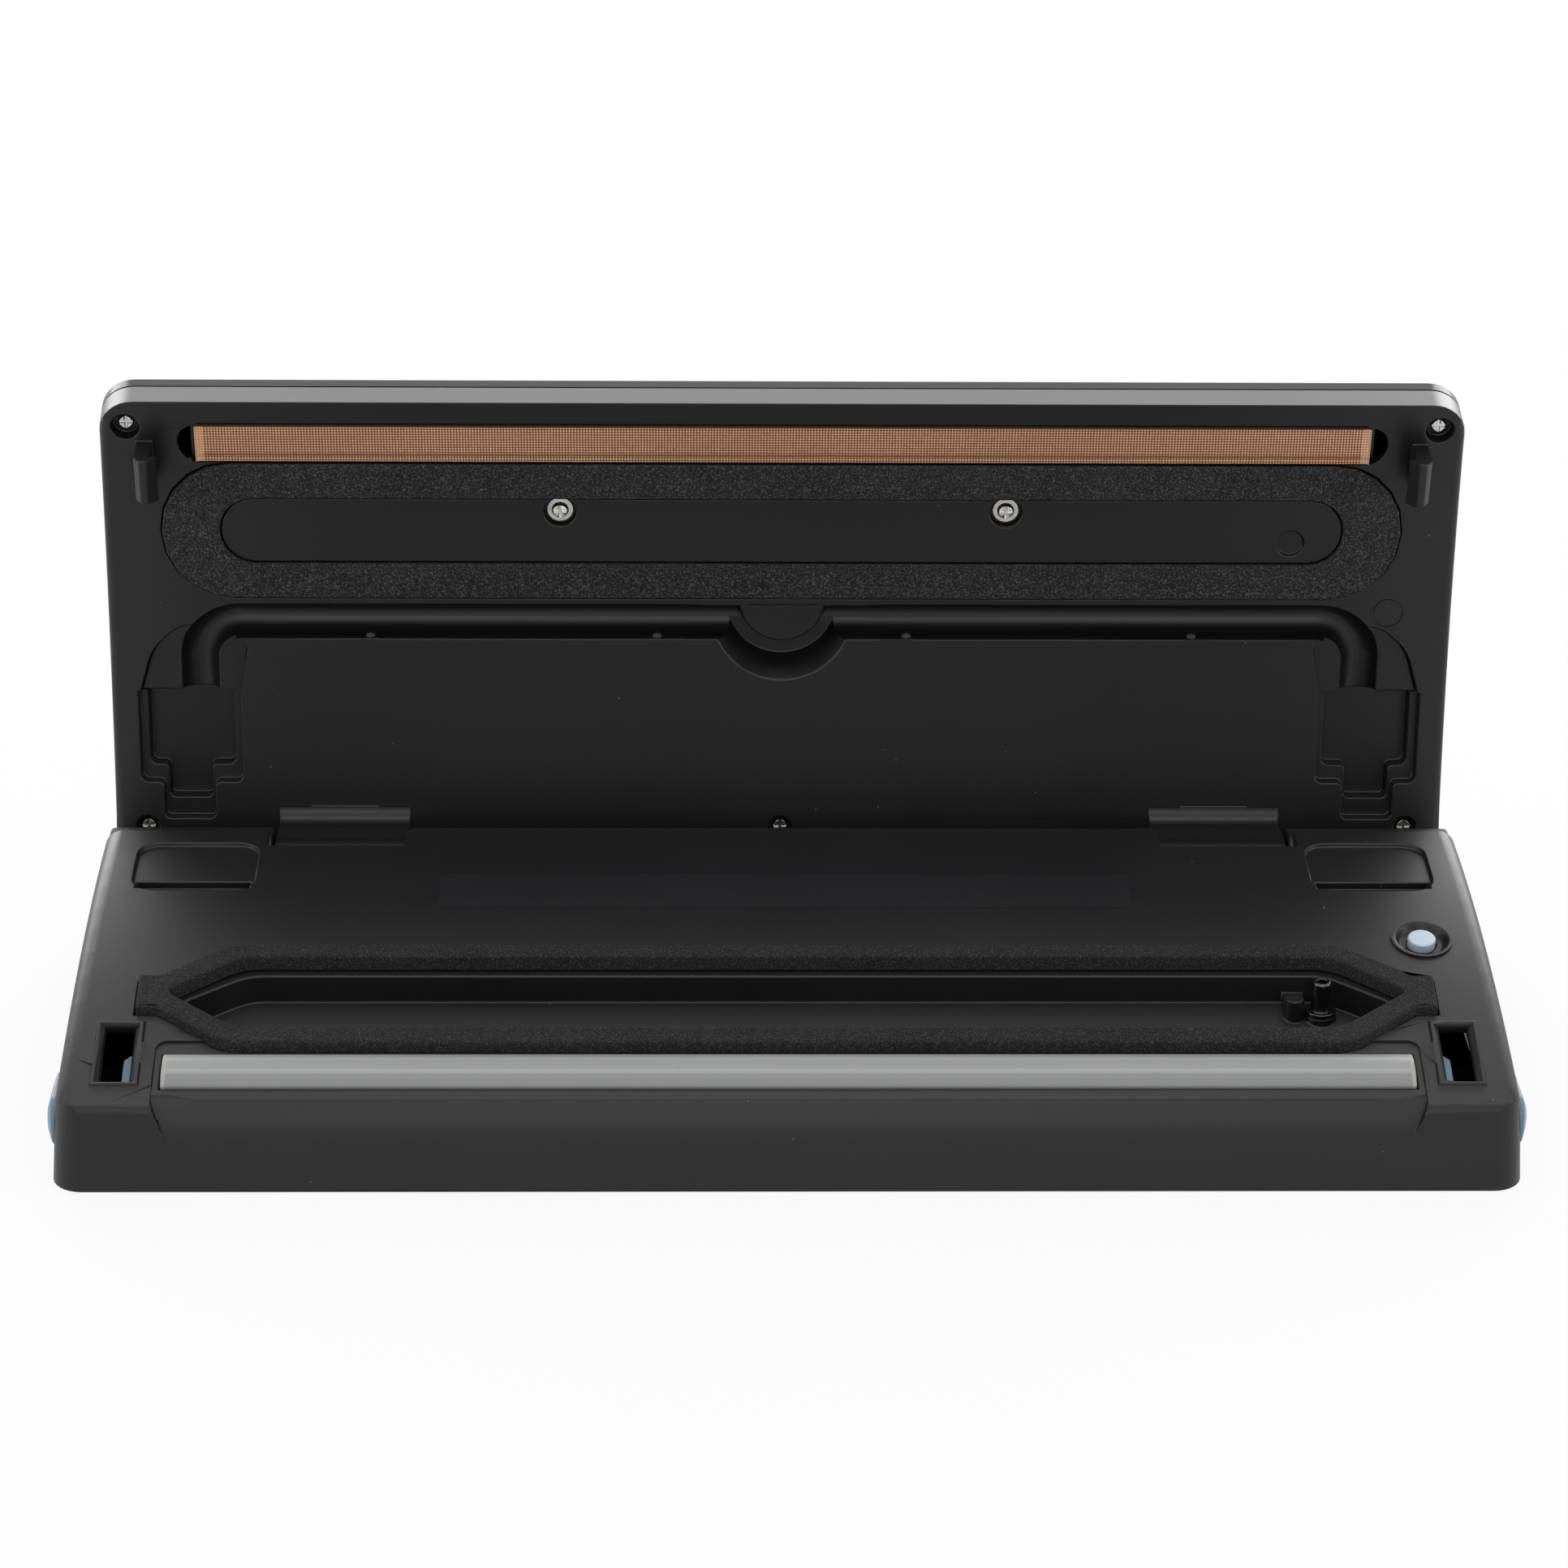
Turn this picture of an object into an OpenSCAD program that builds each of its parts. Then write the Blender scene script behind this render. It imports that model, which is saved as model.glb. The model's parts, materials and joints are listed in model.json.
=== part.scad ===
// Countertop vacuum sealer, lid standing open.
// X runs along the sealing bar, Y from the front to the hinge, Z up from the table.
// A distance called s is measured along the deck, from its front edge towards the hinge.

/* [Base housing] */
// Width of the base at its foot
base_w = 370; // [362:1:380]
// Depth of the base
base_d = 138; // [136:0.5:141]
// Height of the crown of the deck above the table
crown_h = 44.2; // [43.6:0.1:46]
// Radius of the arc that the deck follows, seen from the side
deck_r = 309; // [300:1:318]
// How far the crown of the deck lies behind the middle of the base
crown_back = 44.9; // [43:0.1:46]
// Wall of the plastic mouldings
wall = 2.4; // [2.2:0.1:2.6]
// Lean of each side wall over the height of the crown
side_draft = 2.8; // [1.5:0.1:3.5]
// Lean of the front wall, up to the edge of the deck
front_draft = 1.8; // [1:0.1:2.4]
// Radius of the upright corners
corner_r = 8; // [6:0.5:10]
// Rounding of the front edge of the deck
edge_round = 3.5; // [2:0.5:4]
// Height of the feet under the housing
foot_h = 0.4; // [0.4:0.1:2]
// Thickness of the bottom cover
cover_t = 2; // [1.8:0.1:2.4]
// Play between pieces that are fitted together
fit = 0.3; // [0.2:0.05:0.35]
// Play round a screw, a pin or a tube in its hole
bore_play = 0.05; // [0.03:0.01:0.08]

/* [Hinge] */
// Hinge line behind the middle of the base
hinge_back = 60.1; // [59.6:0.1:60.6]
// Hinge line above the table
hinge_z = 29.8; // [29.4:0.1:30.2]
// Angle from the shut lid to the open stop
open_angle = 99.1; // [96:0.1:100]
// Diameter of each hinge pin
pin_d = 4; // [3:0.1:5]
// Distance of the middle of each hinge arm from the side of the base
arm_in = 65; // [62:0.5:75]
// Width of each hinge arm
arm_w = 36; // [26:0.5:37]
// Radius of the rounded end of each hinge arm
arm_r = 6.5; // [5.5:0.1:6.8]
// Distance s of the back edge of the deck
deck_end_s = 119.3; // [118.5:0.1:120]
// Distance s of the front of each notch for a hinge arm
notch_s = 110; // [108:0.5:112]

/* [Bag entry and sealing strip] */
// Distance of each end of the lowered entry from the side of the base
entry_in = 25.5; // [25.2:0.1:26.5]
// How far the entry lies below the deck
entry_drop = 0.6; // [0.4:0.1:2.2]
// Height above the table where the scoop of the front wall runs out
scoop_z = 14.5; // [13:0.5:17]
// How far the front edge of the entry stands back from the deck's edge
entry_back = 3.6; // [3.5:0.1:5]
// Gap between each end of the silicone strip and the end of the entry
strip_end = 2.2; // [1.5:0.1:8]
// Width of the silicone strip
strip_w = 11.2; // [9:0.1:11.4]
// How far the silicone strip stands above the entry
strip_proud = 2; // [1.2:0.1:2.2]
// How deep the silicone strip sits
strip_sunk = 3.4; // [2.5:0.1:3.6]
// Distance s of the middle of the strip
strip_s = 12.8; // [12.5:0.1:13]

/* [Gasket and trough] */
// Distance s of the front edge of the base gasket
gasket_s0 = 20; // [19.6:0.1:20.4]
// Distance s of the back edge of the base gasket
gasket_s1 = 57.4; // [56:0.1:58]
// Width of the foam band
gasket_band = 5.2; // [4.8:0.1:6]
// How far the base gasket stands above the deck
gasket_proud = 2.2; // [2:0.1:3]
// Depth of the groove that holds the base gasket
groove_depth = 2.2; // [1.8:0.1:3]
// Length of each slanting end of the gasket
gasket_slant = 22.6; // [20:0.2:30]
// Distance of each end tab of the gasket from the side of the base
gasket_in = 19.4; // [18:0.1:19.6]
// Depth of the trough under the groove
trough_depth = 7.4; // [7:0.1:9]
// Distance s of the front rim of the trough
trough_s0 = 28; // [27.5:0.1:29]
// Distance s of the back rim of the trough
trough_s1 = 50.2; // [49:0.1:50.6]
// Outer diameter of the vacuum nozzle
nozzle_d = 4.9; // [4:0.1:6]
// Diameter of the bore of the nozzle
nozzle_bore = 2.6; // [2:0.1:3]
// Height of the nozzle above the floor of the trough
nozzle_h = 10.4; // [8:0.1:10.5]
// Distance of the nozzle from the side of the base
nozzle_in = 47.7; // [47:0.1:51]
// Distance s of the nozzle
nozzle_s = 44.6; // [43:0.1:45]

/* [Latches] */
// Distance of the middle of each latch slot from the side of the base
slot_in = 16.2; // [16:0.1:16.4]
// Distance s of the middle of each latch slot
slot_s = 18.4; // [18.2:0.1:18.8]
// Width of each latch slot
slot_w = 8.6; // [8.4:0.1:8.8]
// Length of each latch slot
slot_l = 18.8; // [18:0.1:19.4]
// Width of the raised rim round each latch slot
slot_rim = 1.7; // [1.2:0.1:1.8]
// Length of each release button along the side wall
release_l = 21.4; // [17:0.2:21.8]
// Height of each release button
release_h = 13; // [9:0.5:13.5]
// How far each release button stands out
release_out = 2; // [1.8:0.1:4]
// Travel of each release button
release_travel = 2.5; // [2:0.1:2.5]
// Height of the middle of the release buttons
release_z = 13.9; // [12.6:0.1:14.2]

/* [Canister switch] */
// Distance of the canister button from the side of the base
canister_in = 19.7; // [19:0.1:21]
// Distance s of the canister button
canister_s = 62.6; // [61.8:0.1:63]
// Diameter of the canister button
canister_d = 7.4; // [6.5:0.1:8]
// Diameter of the dished well round the button
well_d = 13.9; // [13:0.1:14.5]
// Diameter of the raised ring
ring_d = 16; // [15.8:0.1:18]
// Travel of the canister button
canister_travel = 1; // [0.6:0.1:1.2]

/* [Deck details] */
// Distance s of the front edge of each connector recess
recess_s0 = 85.5; // [85:0.5:90]
// Distance s of the back edge of each connector recess
recess_s1 = 111.2; // [106:0.1:111.5]
// Distance of each connector recess from the side of the base
recess_in = 12.9; // [12.5:0.1:16]
// Width of each connector recess
recess_w = 32.2; // [30:0.2:32.4]
// Depth of each connector recess
recess_depth = 1.2; // [0.8:0.1:2]
// Depth of the slot along the front of each connector recess
recess_slot_depth = 3.4; // [2.5:0.1:5]
// Width of the notice film
film_w = 182; // [160:1:184]
// Depth of the notice film
film_d = 16.4; // [14:0.2:18]
// Distance s of the middle of the notice film
film_s = 85.2; // [84:0.1:86]

/* [Lid] */
// Distance of each side of the lid's face from the side of the base
lid_in = 3.4; // [3.2:0.1:4]
// Lean of the lid's side walls, outwards from its face, in degrees
side_flare = 4; // [3:0.2:4.4]
// Lean of the lid's front wall, outwards from its face, in degrees
front_flare = 8.4; // [6:0.2:9]
// Gap between the deck and the shut lid
lid_gap = 1.5; // [1.5:0.1:2]
// Height of the side wall of the inner panel
panel_h = 12; // [11.5:0.1:13]
// Thickness of the lid over the deck, cover and all
lid_t = 19.5; // [19:0.1:21]
// Width of the open seam between inner panel and cover
seam = 0.4; // [0.2:0.05:0.5]
// Distance s of the front of the lid gasket
lid_gasket_s0 = 18.6; // [18.5:0.1:19]
// Distance s of the back of the lid gasket
lid_gasket_s1 = 58.6; // [58:0.1:59]
// Width of the lid gasket's long sides
lid_gasket_band = 10; // [9:0.1:10.2]
// Distance of each end of the lid gasket from the side of the lid
lid_gasket_in = 14.7; // [13.5:0.1:18]
// How far the lid gasket stands out of the panel
lid_gasket_proud = 1.5; // [1:0.1:1.8]
// Depth of the groove of the lid gasket
lid_groove = 2; // [1.5:0.1:2.4]
// Length that each latch hook reaches out of the panel
hook_len = 11; // [10.6:0.1:11]
// Width of each latch hook, along s
hook_w = 13; // [12:0.1:13]
// Distance s of the middle of each latch hook
hook_s = 18.4; // [18.2:0.1:18.5]

/* [Sealing bar] */
// How much shorter the heater tape is than the silicone strip
tape_short = 1.2; // [0.6:0.2:14]
// Width of the heater tape
tape_w = 10.8; // [9.5:0.1:10.9]
// Thickness of the heater tape
tape_t = 0.25; // [0.2:0.01:0.4]
// Distance s of the middle of the heater tape
tape_s = 12.4; // [12.3:0.1:12.5]
// Height of the bar that carries the heating element
bar_h = 6; // [5:0.5:7]
// Width of the heating ribbon
ribbon_w = 3; // [2:0.1:5]

/* [Hose store in the lid] */
// Width of the hose channel
channel_w = 10; // [9:0.1:10.4]
// Distance s of the middle of the straight hose channel
channel_s = 65.7; // [65.2:0.1:66]
// Distance of the centre of each channel bend from the side of the lid
bend_in = 34.7; // [33.7:0.1:37]
// Radius of the middle of each channel bend
bend_r = 11.9; // [11.5:0.1:12.5]
// Radius of the finger scoop at the face of the lid
scoop_r = 19.3; // [17:0.1:20]
// Distance s of the centre of the finger scoop
scoop_s = 63.3; // [62:0.1:65]
// Depth of the finger scoop
scoop_depth = 8; // [6:0.5:8.5]
// Radius of the round island in the finger scoop
island_r = 11.4; // [9:0.1:12]
// Distance of each connector pocket from the side of the lid
pocket_in = 5.9; // [5.7:0.1:8]
// Width of each connector pocket
pocket_w = 27.8; // [26:0.2:28.6]
// Depth of each connector pocket
pocket_depth = 9; // [7:0.5:9.5]

/* [Controls on top of the lid] */
// Width of the control panel
control_w = 128; // [120:1:140]
// Depth of the control panel
control_d = 24; // [22:0.5:26]
// Distance s of the middle of the control panel
control_s = 40; // [38:0.5:42]
// Width of each key
key_w = 24; // [20:0.5:28]
// Depth of each key
key_d = 11; // [9:0.5:12]
// Distance between the keys
key_pitch = 38; // [34:0.5:42]
// Travel of each key
key_travel = 0.7; // [0.4:0.1:0.8]

/* [Pump and electrics] */
// Diameter of the pump motor
motor_d = 23; // [18:0.5:24]
// Length of the pump motor
motor_l = 32; // [26:1:36]
// Side of the square pump head
head_side = 24; // [22:0.5:25]
// Width of the transformer core
core_w = 44; // [38:1:48]
// Depth of the transformer core
core_d = 34; // [30:1:36]
// Height of the transformer core
core_h = 26; // [20:1:28]
// Width of the main board
board_w = 78; // [70:1:84]
// Depth of the main board
board_d = 46; // [40:1:50]
// Distance of the power inlet from the middle, to the left
inlet_x = 60; // [50:1:70]

/* [Hidden] */

$fn = 48;
// Facets of the long arcs, of the upright corners and of a fillet in an outline
arc_fn = 360;
corner_fn = 32;
fillet_n = 5;

arm_x = base_w / 2 - arm_in;
entry_w = base_w - 2 * entry_in;
strip_len = entry_w - 2 * strip_end;
gasket_tip = base_w / 2 - gasket_in;
tab_root = gasket_tip - 5.4;
gasket_run = gasket_tip - gasket_slant;
nozzle_x = base_w / 2 - nozzle_in;
slot_x = base_w / 2 - slot_in;
canister_x = base_w / 2 - canister_in;
recess_x1 = base_w / 2 - recess_in;
recess_x0 = recess_x1 - recess_w;
lid_x = base_w / 2 - lid_in;
lid_gasket_x = lid_x - lid_gasket_in;
tape_len = strip_len - tape_short;
bend_x = lid_x - bend_in;
pocket_x1 = lid_x - pocket_in;
pocket_x0 = pocket_x1 - pocket_w;
axis_z = crown_h - deck_r;
lid_r = deck_r + lid_gap;
top_r = lid_r + lid_t;
// How far the open lid reaches behind the middle of the base
lid_reach = hinge_back + cos(open_angle) * (crown_back - hinge_back) + sin(open_angle) * (axis_z - hinge_z)
  + top_r;
// The origin is under the middle of the whole machine, so the base's own middle lies in front of it
mid_y = (base_d / 2 - lid_reach) / 2;
front_y = mid_y - base_d / 2;
back_y = mid_y + base_d / 2;
crown_y = mid_y + crown_back;
hinge_y = mid_y + hinge_back;
deck_front_y = front_y + front_draft;
crown_s = deck_r * asin((crown_y - deck_front_y) / deck_r) * PI / 180;
inside_z = foot_h + cover_t;
barrel_r = back_y - hinge_y;
entry_r = deck_r - entry_drop;
groove_r = deck_r - groove_depth;
trough_r = groove_r - trough_depth;

// --- places on the deck and on the lid ---

// Depth and height of the point at distance s on an arc of radius r
function s_y(s, r = deck_r) = crown_y + r * sin((s - crown_s) / deck_r * 180 / PI);
function s_z(s, r = deck_r) = axis_z + r * cos((s - crown_s) / deck_r * 180 / PI);
// Rise of the deck at s, in degrees
function slope(s) = (crown_s - s) / deck_r * 180 / PI;
// Height of the arc of radius r at the depth y
function arc_z(y, r = deck_r) = axis_z + sqrt(r * r - pow(y - crown_y, 2));

deck_front_z = arc_z(deck_front_y);
deck_end_y = s_y(deck_end_s);
slot_y = s_y(slot_s);

module place(s, x = 0, r = deck_r) translate([x, s_y(s, r), s_z(s, r)]) rotate([slope(s), 0, 0]) children();

module on_lid(s, x = 0) place(s, x, lid_r) children();

module on_top(s, x = 0) place(s, x, top_r) children();

module mirrored() {
  children();
  mirror([1, 0, 0]) children();
}

// Turns a piece drawn on the shut lid to the open stop
module opened(angle = open_angle)
  translate([0, hinge_y, hinge_z]) rotate([-angle, 0, 0]) translate([0, -hinge_y, -hinge_z]) children();

// A profile drawn in depth and height, run along X
module along_x(width) rotate([90, 0, 90]) linear_extrude(width, center = true) children();

// The solid drum under an arc of radius r
module drum(r) translate([0, crown_y, axis_z]) rotate([0, 90, 0])
  cylinder(r = r, h = base_w + 80, center = true, $fn = arc_fn);

// Upright prism on an outline, cut off between two arcs
module layer(r0, r1) difference() {
  intersection() {
    linear_extrude(120) children();
    drum(r1);
  }
  drum(r0);
}

// Upright prism on an outline, above an arc
module above(r) difference() {
  linear_extrude(120) children();
  drum(r);
}

// --- outlines ---

function unit(v) = v / norm(v);

// The arc that rounds the corner b between a and c
function corner_arc(a, b, c, r) =
  let (u = unit(a - b), v = unit(c - b), half = acos(u * v) / 2,
       reach = min(r / tan(half), norm(a - b) / 2.05, norm(c - b) / 2.05),
       rr = reach * tan(half), m = b + unit(u + v) * rr / sin(half),
       p = b + u * reach - m, q = b + v * reach - m,
       start = atan2(p[1], p[0]), turn = (atan2(q[1], q[0]) - start + 540) % 360 - 180)
  [for (i = [0 : fillet_n]) m + rr * [cos(start + turn * i / fillet_n), sin(start + turn * i / fillet_n)]];

// An outline with every corner rounded, except where the radius is zero
function rounded(pts, radii) =
  let (n = len(pts))
  [for (i = [0 : n - 1]) let (r = is_list(radii) ? radii[i] : radii)
    each (r == 0 ? [pts[i]] : corner_arc(pts[(i + n - 1) % n], pts[i], pts[(i + 1) % n], r))];

function box_pts(x0, y0, x1, y1) = [[x0, y0], [x1, y0], [x1, y1], [x0, y1]];

function plate_pts(w, d, r) = rounded(box_pts(-w / 2, -d / 2, w / 2, d / 2), r);

// A long band with slanting ends that run to a tip of a given half width
function long_band(run, tip, half, y0, y1) =
  let (m = (y0 + y1) / 2)
  [[-run, y0], [run, y0], [tip, m - half], [tip, m + half], [run, y1], [-run, y1],
   [-tip, m + half], [-tip, m - half]];

tab_half = 6;

// Outline of the base gasket, grown by g, with its square end tabs
function gasket_outline(g = 0) =
  let (y0 = s_y(gasket_s0) - g, y1 = s_y(gasket_s1) + g, m = (y0 + y1) / 2, h = tab_half + g,
       x = gasket_tip + g)
  rounded([[-gasket_run, y0], [gasket_run, y0], [tab_root, m - h], [x, m - h], [x, m + h],
           [tab_root, m + h], [gasket_run, y1], [-gasket_run, y1], [-tab_root, m + h], [-x, m + h],
           [-x, m - h], [-tab_root, m - h]],
          [14, 14, 3, 0, 0, 3, 14, 14, 3, 0, 0, 3]);

inner_tip = tab_root - 3;
inner_run = gasket_run - 3;

// Inner edge of the base gasket
function gasket_inner() =
  rounded(long_band(inner_run, inner_tip, 0.8, s_y(gasket_s0 + gasket_band), s_y(gasket_s1 - gasket_band)),
          [16, 16, 0.6, 0.6, 16, 16, 0.6, 0.6]);

trough_ledge = 3.4;

function trough_outline(g = 0) =
  rounded(long_band(inner_run - trough_ledge / 2, inner_tip - trough_ledge + g, 1.2, s_y(trough_s0) - g,
                    s_y(trough_s1) + g), [14, 14, 1.5, 1.5, 14, 14, 1.5, 1.5]);

// --- base housing ---

// Height at which the hull of the housing is cut off by the deck
block_top = 60;

// The housing's upright block with leaning walls, drawn in by inset
module plan_block(inset = 0, z0 = foot_h) {
  lean = (block_top - foot_h);
  side = side_draft * lean / (crown_h - foot_h);
  front = front_draft * lean / (deck_front_z - foot_h);
  drop = (foot_h - z0) / lean;
  hull() for (x = [-1, 1], t = [-drop, 1], back = [0, 1])
    translate([x * (base_w / 2 - corner_r - side * t),
               back ? back_y - corner_r : front_y + corner_r + front * t, foot_h + lean * t])
      cylinder(r = corner_r - inset, h = 0.01, $fn = corner_fn);
}

notch_floor = 2.2;

// The rounded front edge of the deck, seen from the side
function front_edge() = corner_arc([s_y(6), s_z(6)], [deck_front_y, deck_front_z], [front_y, foot_h], edge_round);

// Side view of the housing: front edge, back wall, hinge barrel and the drop behind the deck
module side_view(inset = 0) {
  front = inset > 0 ? [[front_y - 20, 100], [front_y - 20, -20]]
    : concat([[front_edge()[0][0], 100]], front_edge(), [[front_y - 0.01, foot_h], [front_y - 0.01, -20]]);
  polygon(concat([[back_y - inset, -20], [back_y - inset, hinge_z],
    [deck_end_y - inset, hinge_z + notch_floor - inset], [deck_end_y - inset, 100]], front));
  translate([hinge_y, hinge_z]) circle(r = barrel_r - inset, $fn = 96);
}

module base_solid(inset = 0) intersection() {
  plan_block(inset, inset > 0 ? -5 : foot_h);
  along_x(base_w + 60) side_view(inset);
  drum(deck_r - inset);
}

entry_x = entry_w / 2;
entry_front_y = deck_front_y + entry_back;

// Lowered entry for the bag, with its end walls
module entry_outline(g = 0) polygon(rounded(
  box_pts(-entry_x - g, front_y - 30, entry_x + g, s_y(gasket_s0 + 3) + g), [0, 0, 3, 3]));

scoop_end = 4;

// The sloping scoop under the entry, with slanting ends
module front_scoop() {
  top = arc_z(entry_front_y, entry_r);
  intersection() {
    along_x(base_w) polygon([[entry_front_y, top], [entry_front_y, 90], [front_y - 20, 90],
      [front_y - 20, scoop_z], [front_y + front_draft * 0.6, scoop_z]]);
    rotate([90, 0, 0]) linear_extrude(base_d * 2, center = true)
      polygon([[-entry_x + scoop_end, scoop_z - 1], [entry_x - scoop_end, scoop_z - 1], [entry_x, top],
               [entry_x, 90], [-entry_x, 90], [-entry_x, top]]);
  }
}

// Extra plastic behind the scoop, so that the front wall stays whole
module scoop_backing() along_x(entry_w + 2 * wall) polygon([[front_y - 1, scoop_z - 2 * wall],
  [front_y + 3 * wall, scoop_z - wall], [entry_front_y + 1.5 * wall, deck_front_z + wall],
  [front_y - 1, deck_front_z + wall]]);

module strip_slot(g = 0) place(strip_s, 0, entry_r)
  translate([0, 0, -(strip_sunk + g) / 2 + 1]) cube([strip_len + 2 * fit + 2 * g, strip_w + 2 * fit + 2 * g,
    strip_sunk + 2 + g], center = true);

module recess_outline(g = 0) polygon(rounded(
  box_pts(recess_x0 - g, s_y(recess_s0) - g, recess_x1 + g, s_y(recess_s1) + g), 6));

finger_slot = 5;
slot_margin = 1.1;

// The deeper slot along the front of a connector recess
module recess_slot(g = 0) polygon(box_pts(recess_x0 + slot_margin - g, s_y(recess_s0) + slot_margin - g,
  recess_x1 - slot_margin + g, s_y(recess_s0) + slot_margin + finger_slot + g));

notch_low = 9.6;
notch_x = arm_w / 2 + 0.5;
cheek = 2.7;

// Room in the housing for one hinge arm, as deep as the arm swings
module hinge_notch(g = 0) translate([arm_x, 0, 0])
  translate([-notch_x - g, s_y(notch_s) - g, hinge_z - notch_low - g])
    cube([2 * (notch_x + g), back_y - s_y(notch_s) + 20 + g, 60]);

boss_r = 3.6;
boss_front_x = base_w / 2 - 67;
boss_back_x = base_w / 2 - 31;
boss_at = [[-boss_front_x, front_y + 13.5], [0, front_y + 13.5], [boss_front_x, front_y + 13.5],
  [-boss_back_x, back_y - 25], [8, back_y - 17], [boss_back_x, back_y - 25]];
screw_r = 1.5;

ring_rise = 0.5;
well_depth = 1.4;
collar = 5;
skirt_r = ring_d / 2 + 1.4;
switch_drop = 15;

module canister_pad() place(canister_s, canister_x) {
  translate([0, 0, -well_depth - collar]) cylinder(d = ring_d, h = well_depth + collar);
  translate([0, 0, -switch_drop]) difference() {
    cylinder(r = skirt_r, h = switch_drop - wall / 2);
    translate([0, 0, -1]) cylinder(r = skirt_r - 1.4, h = switch_drop);
  }
}

module canister_cut() place(canister_s, canister_x) {
  translate([0, 0, -well_depth]) cylinder(d1 = well_d - 2.4, d2 = well_d, h = well_depth + ring_rise + 0.01);
  translate([0, 0, -well_depth - collar - 1]) cylinder(d = canister_d + 2 * 0.1, h = collar + 3);
}

// Everything that thickens the housing from inside
module base_pads() {
  layer(entry_r - wall, deck_r) entry_outline(wall);
  strip_slot(wall);
  scoop_backing();
  layer(groove_r - wall, deck_r) polygon(gasket_outline(wall / 2));
  layer(trough_r - wall, deck_r) polygon(trough_outline(wall));
  mirrored() {
    layer(deck_r - recess_depth - wall, deck_r) recess_outline(wall);
    layer(deck_r - recess_slot_depth - wall, deck_r) recess_slot(wall);
    hinge_notch(cheek);
  }
  for (p = boss_at) translate([p[0], p[1], inside_z]) cylinder(r = boss_r, h = 40);
}

nozzle_y = s_y(nozzle_s);
nozzle_floor = arc_z(nozzle_y, trough_r);

// Seat of the nozzle and the rounded block beside it, part of the trough
module nozzle_block() translate([nozzle_x, nozzle_y, nozzle_floor - 1.2]) {
  cylinder(d = 8, h = 2.3);
  translate([-6.8, 0, 0]) cylinder(d = 5, h = 6.7);
  translate([-9.3, 0, 0]) cube([5, 8, 5.2]);
}

module slot_frame() place(slot_s, slot_x) translate([0, 0, -wall])
  linear_extrude(wall + 0.7) difference() {
    square([slot_w + 2 * slot_rim, slot_l + 2 * slot_rim], center = true);
    square([slot_w, slot_l], center = true);
  }

module slot_cut() place(slot_s, slot_x) {
  translate([0, 0, -6]) linear_extrude(20) square([slot_w - 1.2, slot_l], center = true);
  translate([0, 0, -0.5]) linear_extrude(1.21, scale = [(slot_w + 1.6) / (slot_w - 1.2), 1 + 1.6 / slot_l])
    square([slot_w - 1.2, slot_l], center = true);
}

window_play = 0.3;

module release_window() translate([base_w / 2 - 12, slot_y, release_z]) rotate([90, 0, 90])
  linear_extrude(24) polygon(plate_pts(release_l + 2 * window_play, release_h + 2 * window_play, 5.2));

inlet_z = 9.4;
inlet_w = 17.4;
inlet_t = 9.4;

module inlet_outline(g = 0) polygon(plate_pts(inlet_w + 2 * g, inlet_t + 2 * g, inlet_t / 2 + g - 0.01));

module base_shell() color("#303133") difference() {
  union() {
    difference() {
      base_solid();
      base_solid(wall);
    }
    intersection() {
      base_solid();
      base_pads();
    }
    mirrored() slot_frame();
    place(canister_s, canister_x) translate([0, 0, -1]) cylinder(d = ring_d, h = 1 + ring_rise);
    canister_pad();
    nozzle_block();
  }
  above(entry_r) entry_outline();
  front_scoop();
  strip_slot();
  above(groove_r) polygon(gasket_outline(fit));
  difference() {
    above(trough_r) polygon(trough_outline());
    nozzle_block();
  }
  mirrored() {
    above(deck_r - recess_depth) recess_outline();
    above(deck_r - recess_slot_depth) recess_slot();
    hinge_notch();
    slot_cut();
    release_window();
  }
  canister_cut();
  translate([nozzle_x, nozzle_y, 5]) cylinder(r = nozzle_d / 2 + bore_play, h = 30);
  translate([0, hinge_y, hinge_z]) rotate([0, 90, 0])
    cylinder(r = pin_d / 2 + bore_play, h = 2 * (arm_x + notch_x + cheek - 0.7), center = true);
  for (p = boss_at) translate([p[0], p[1], inside_z - 1]) cylinder(r = screw_r + bore_play, h = 10);
  translate([-inlet_x, back_y - 10, inlet_z]) rotate([-90, 0, 0]) linear_extrude(20) inlet_outline(fit);
}

vent_n = 7;

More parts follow.
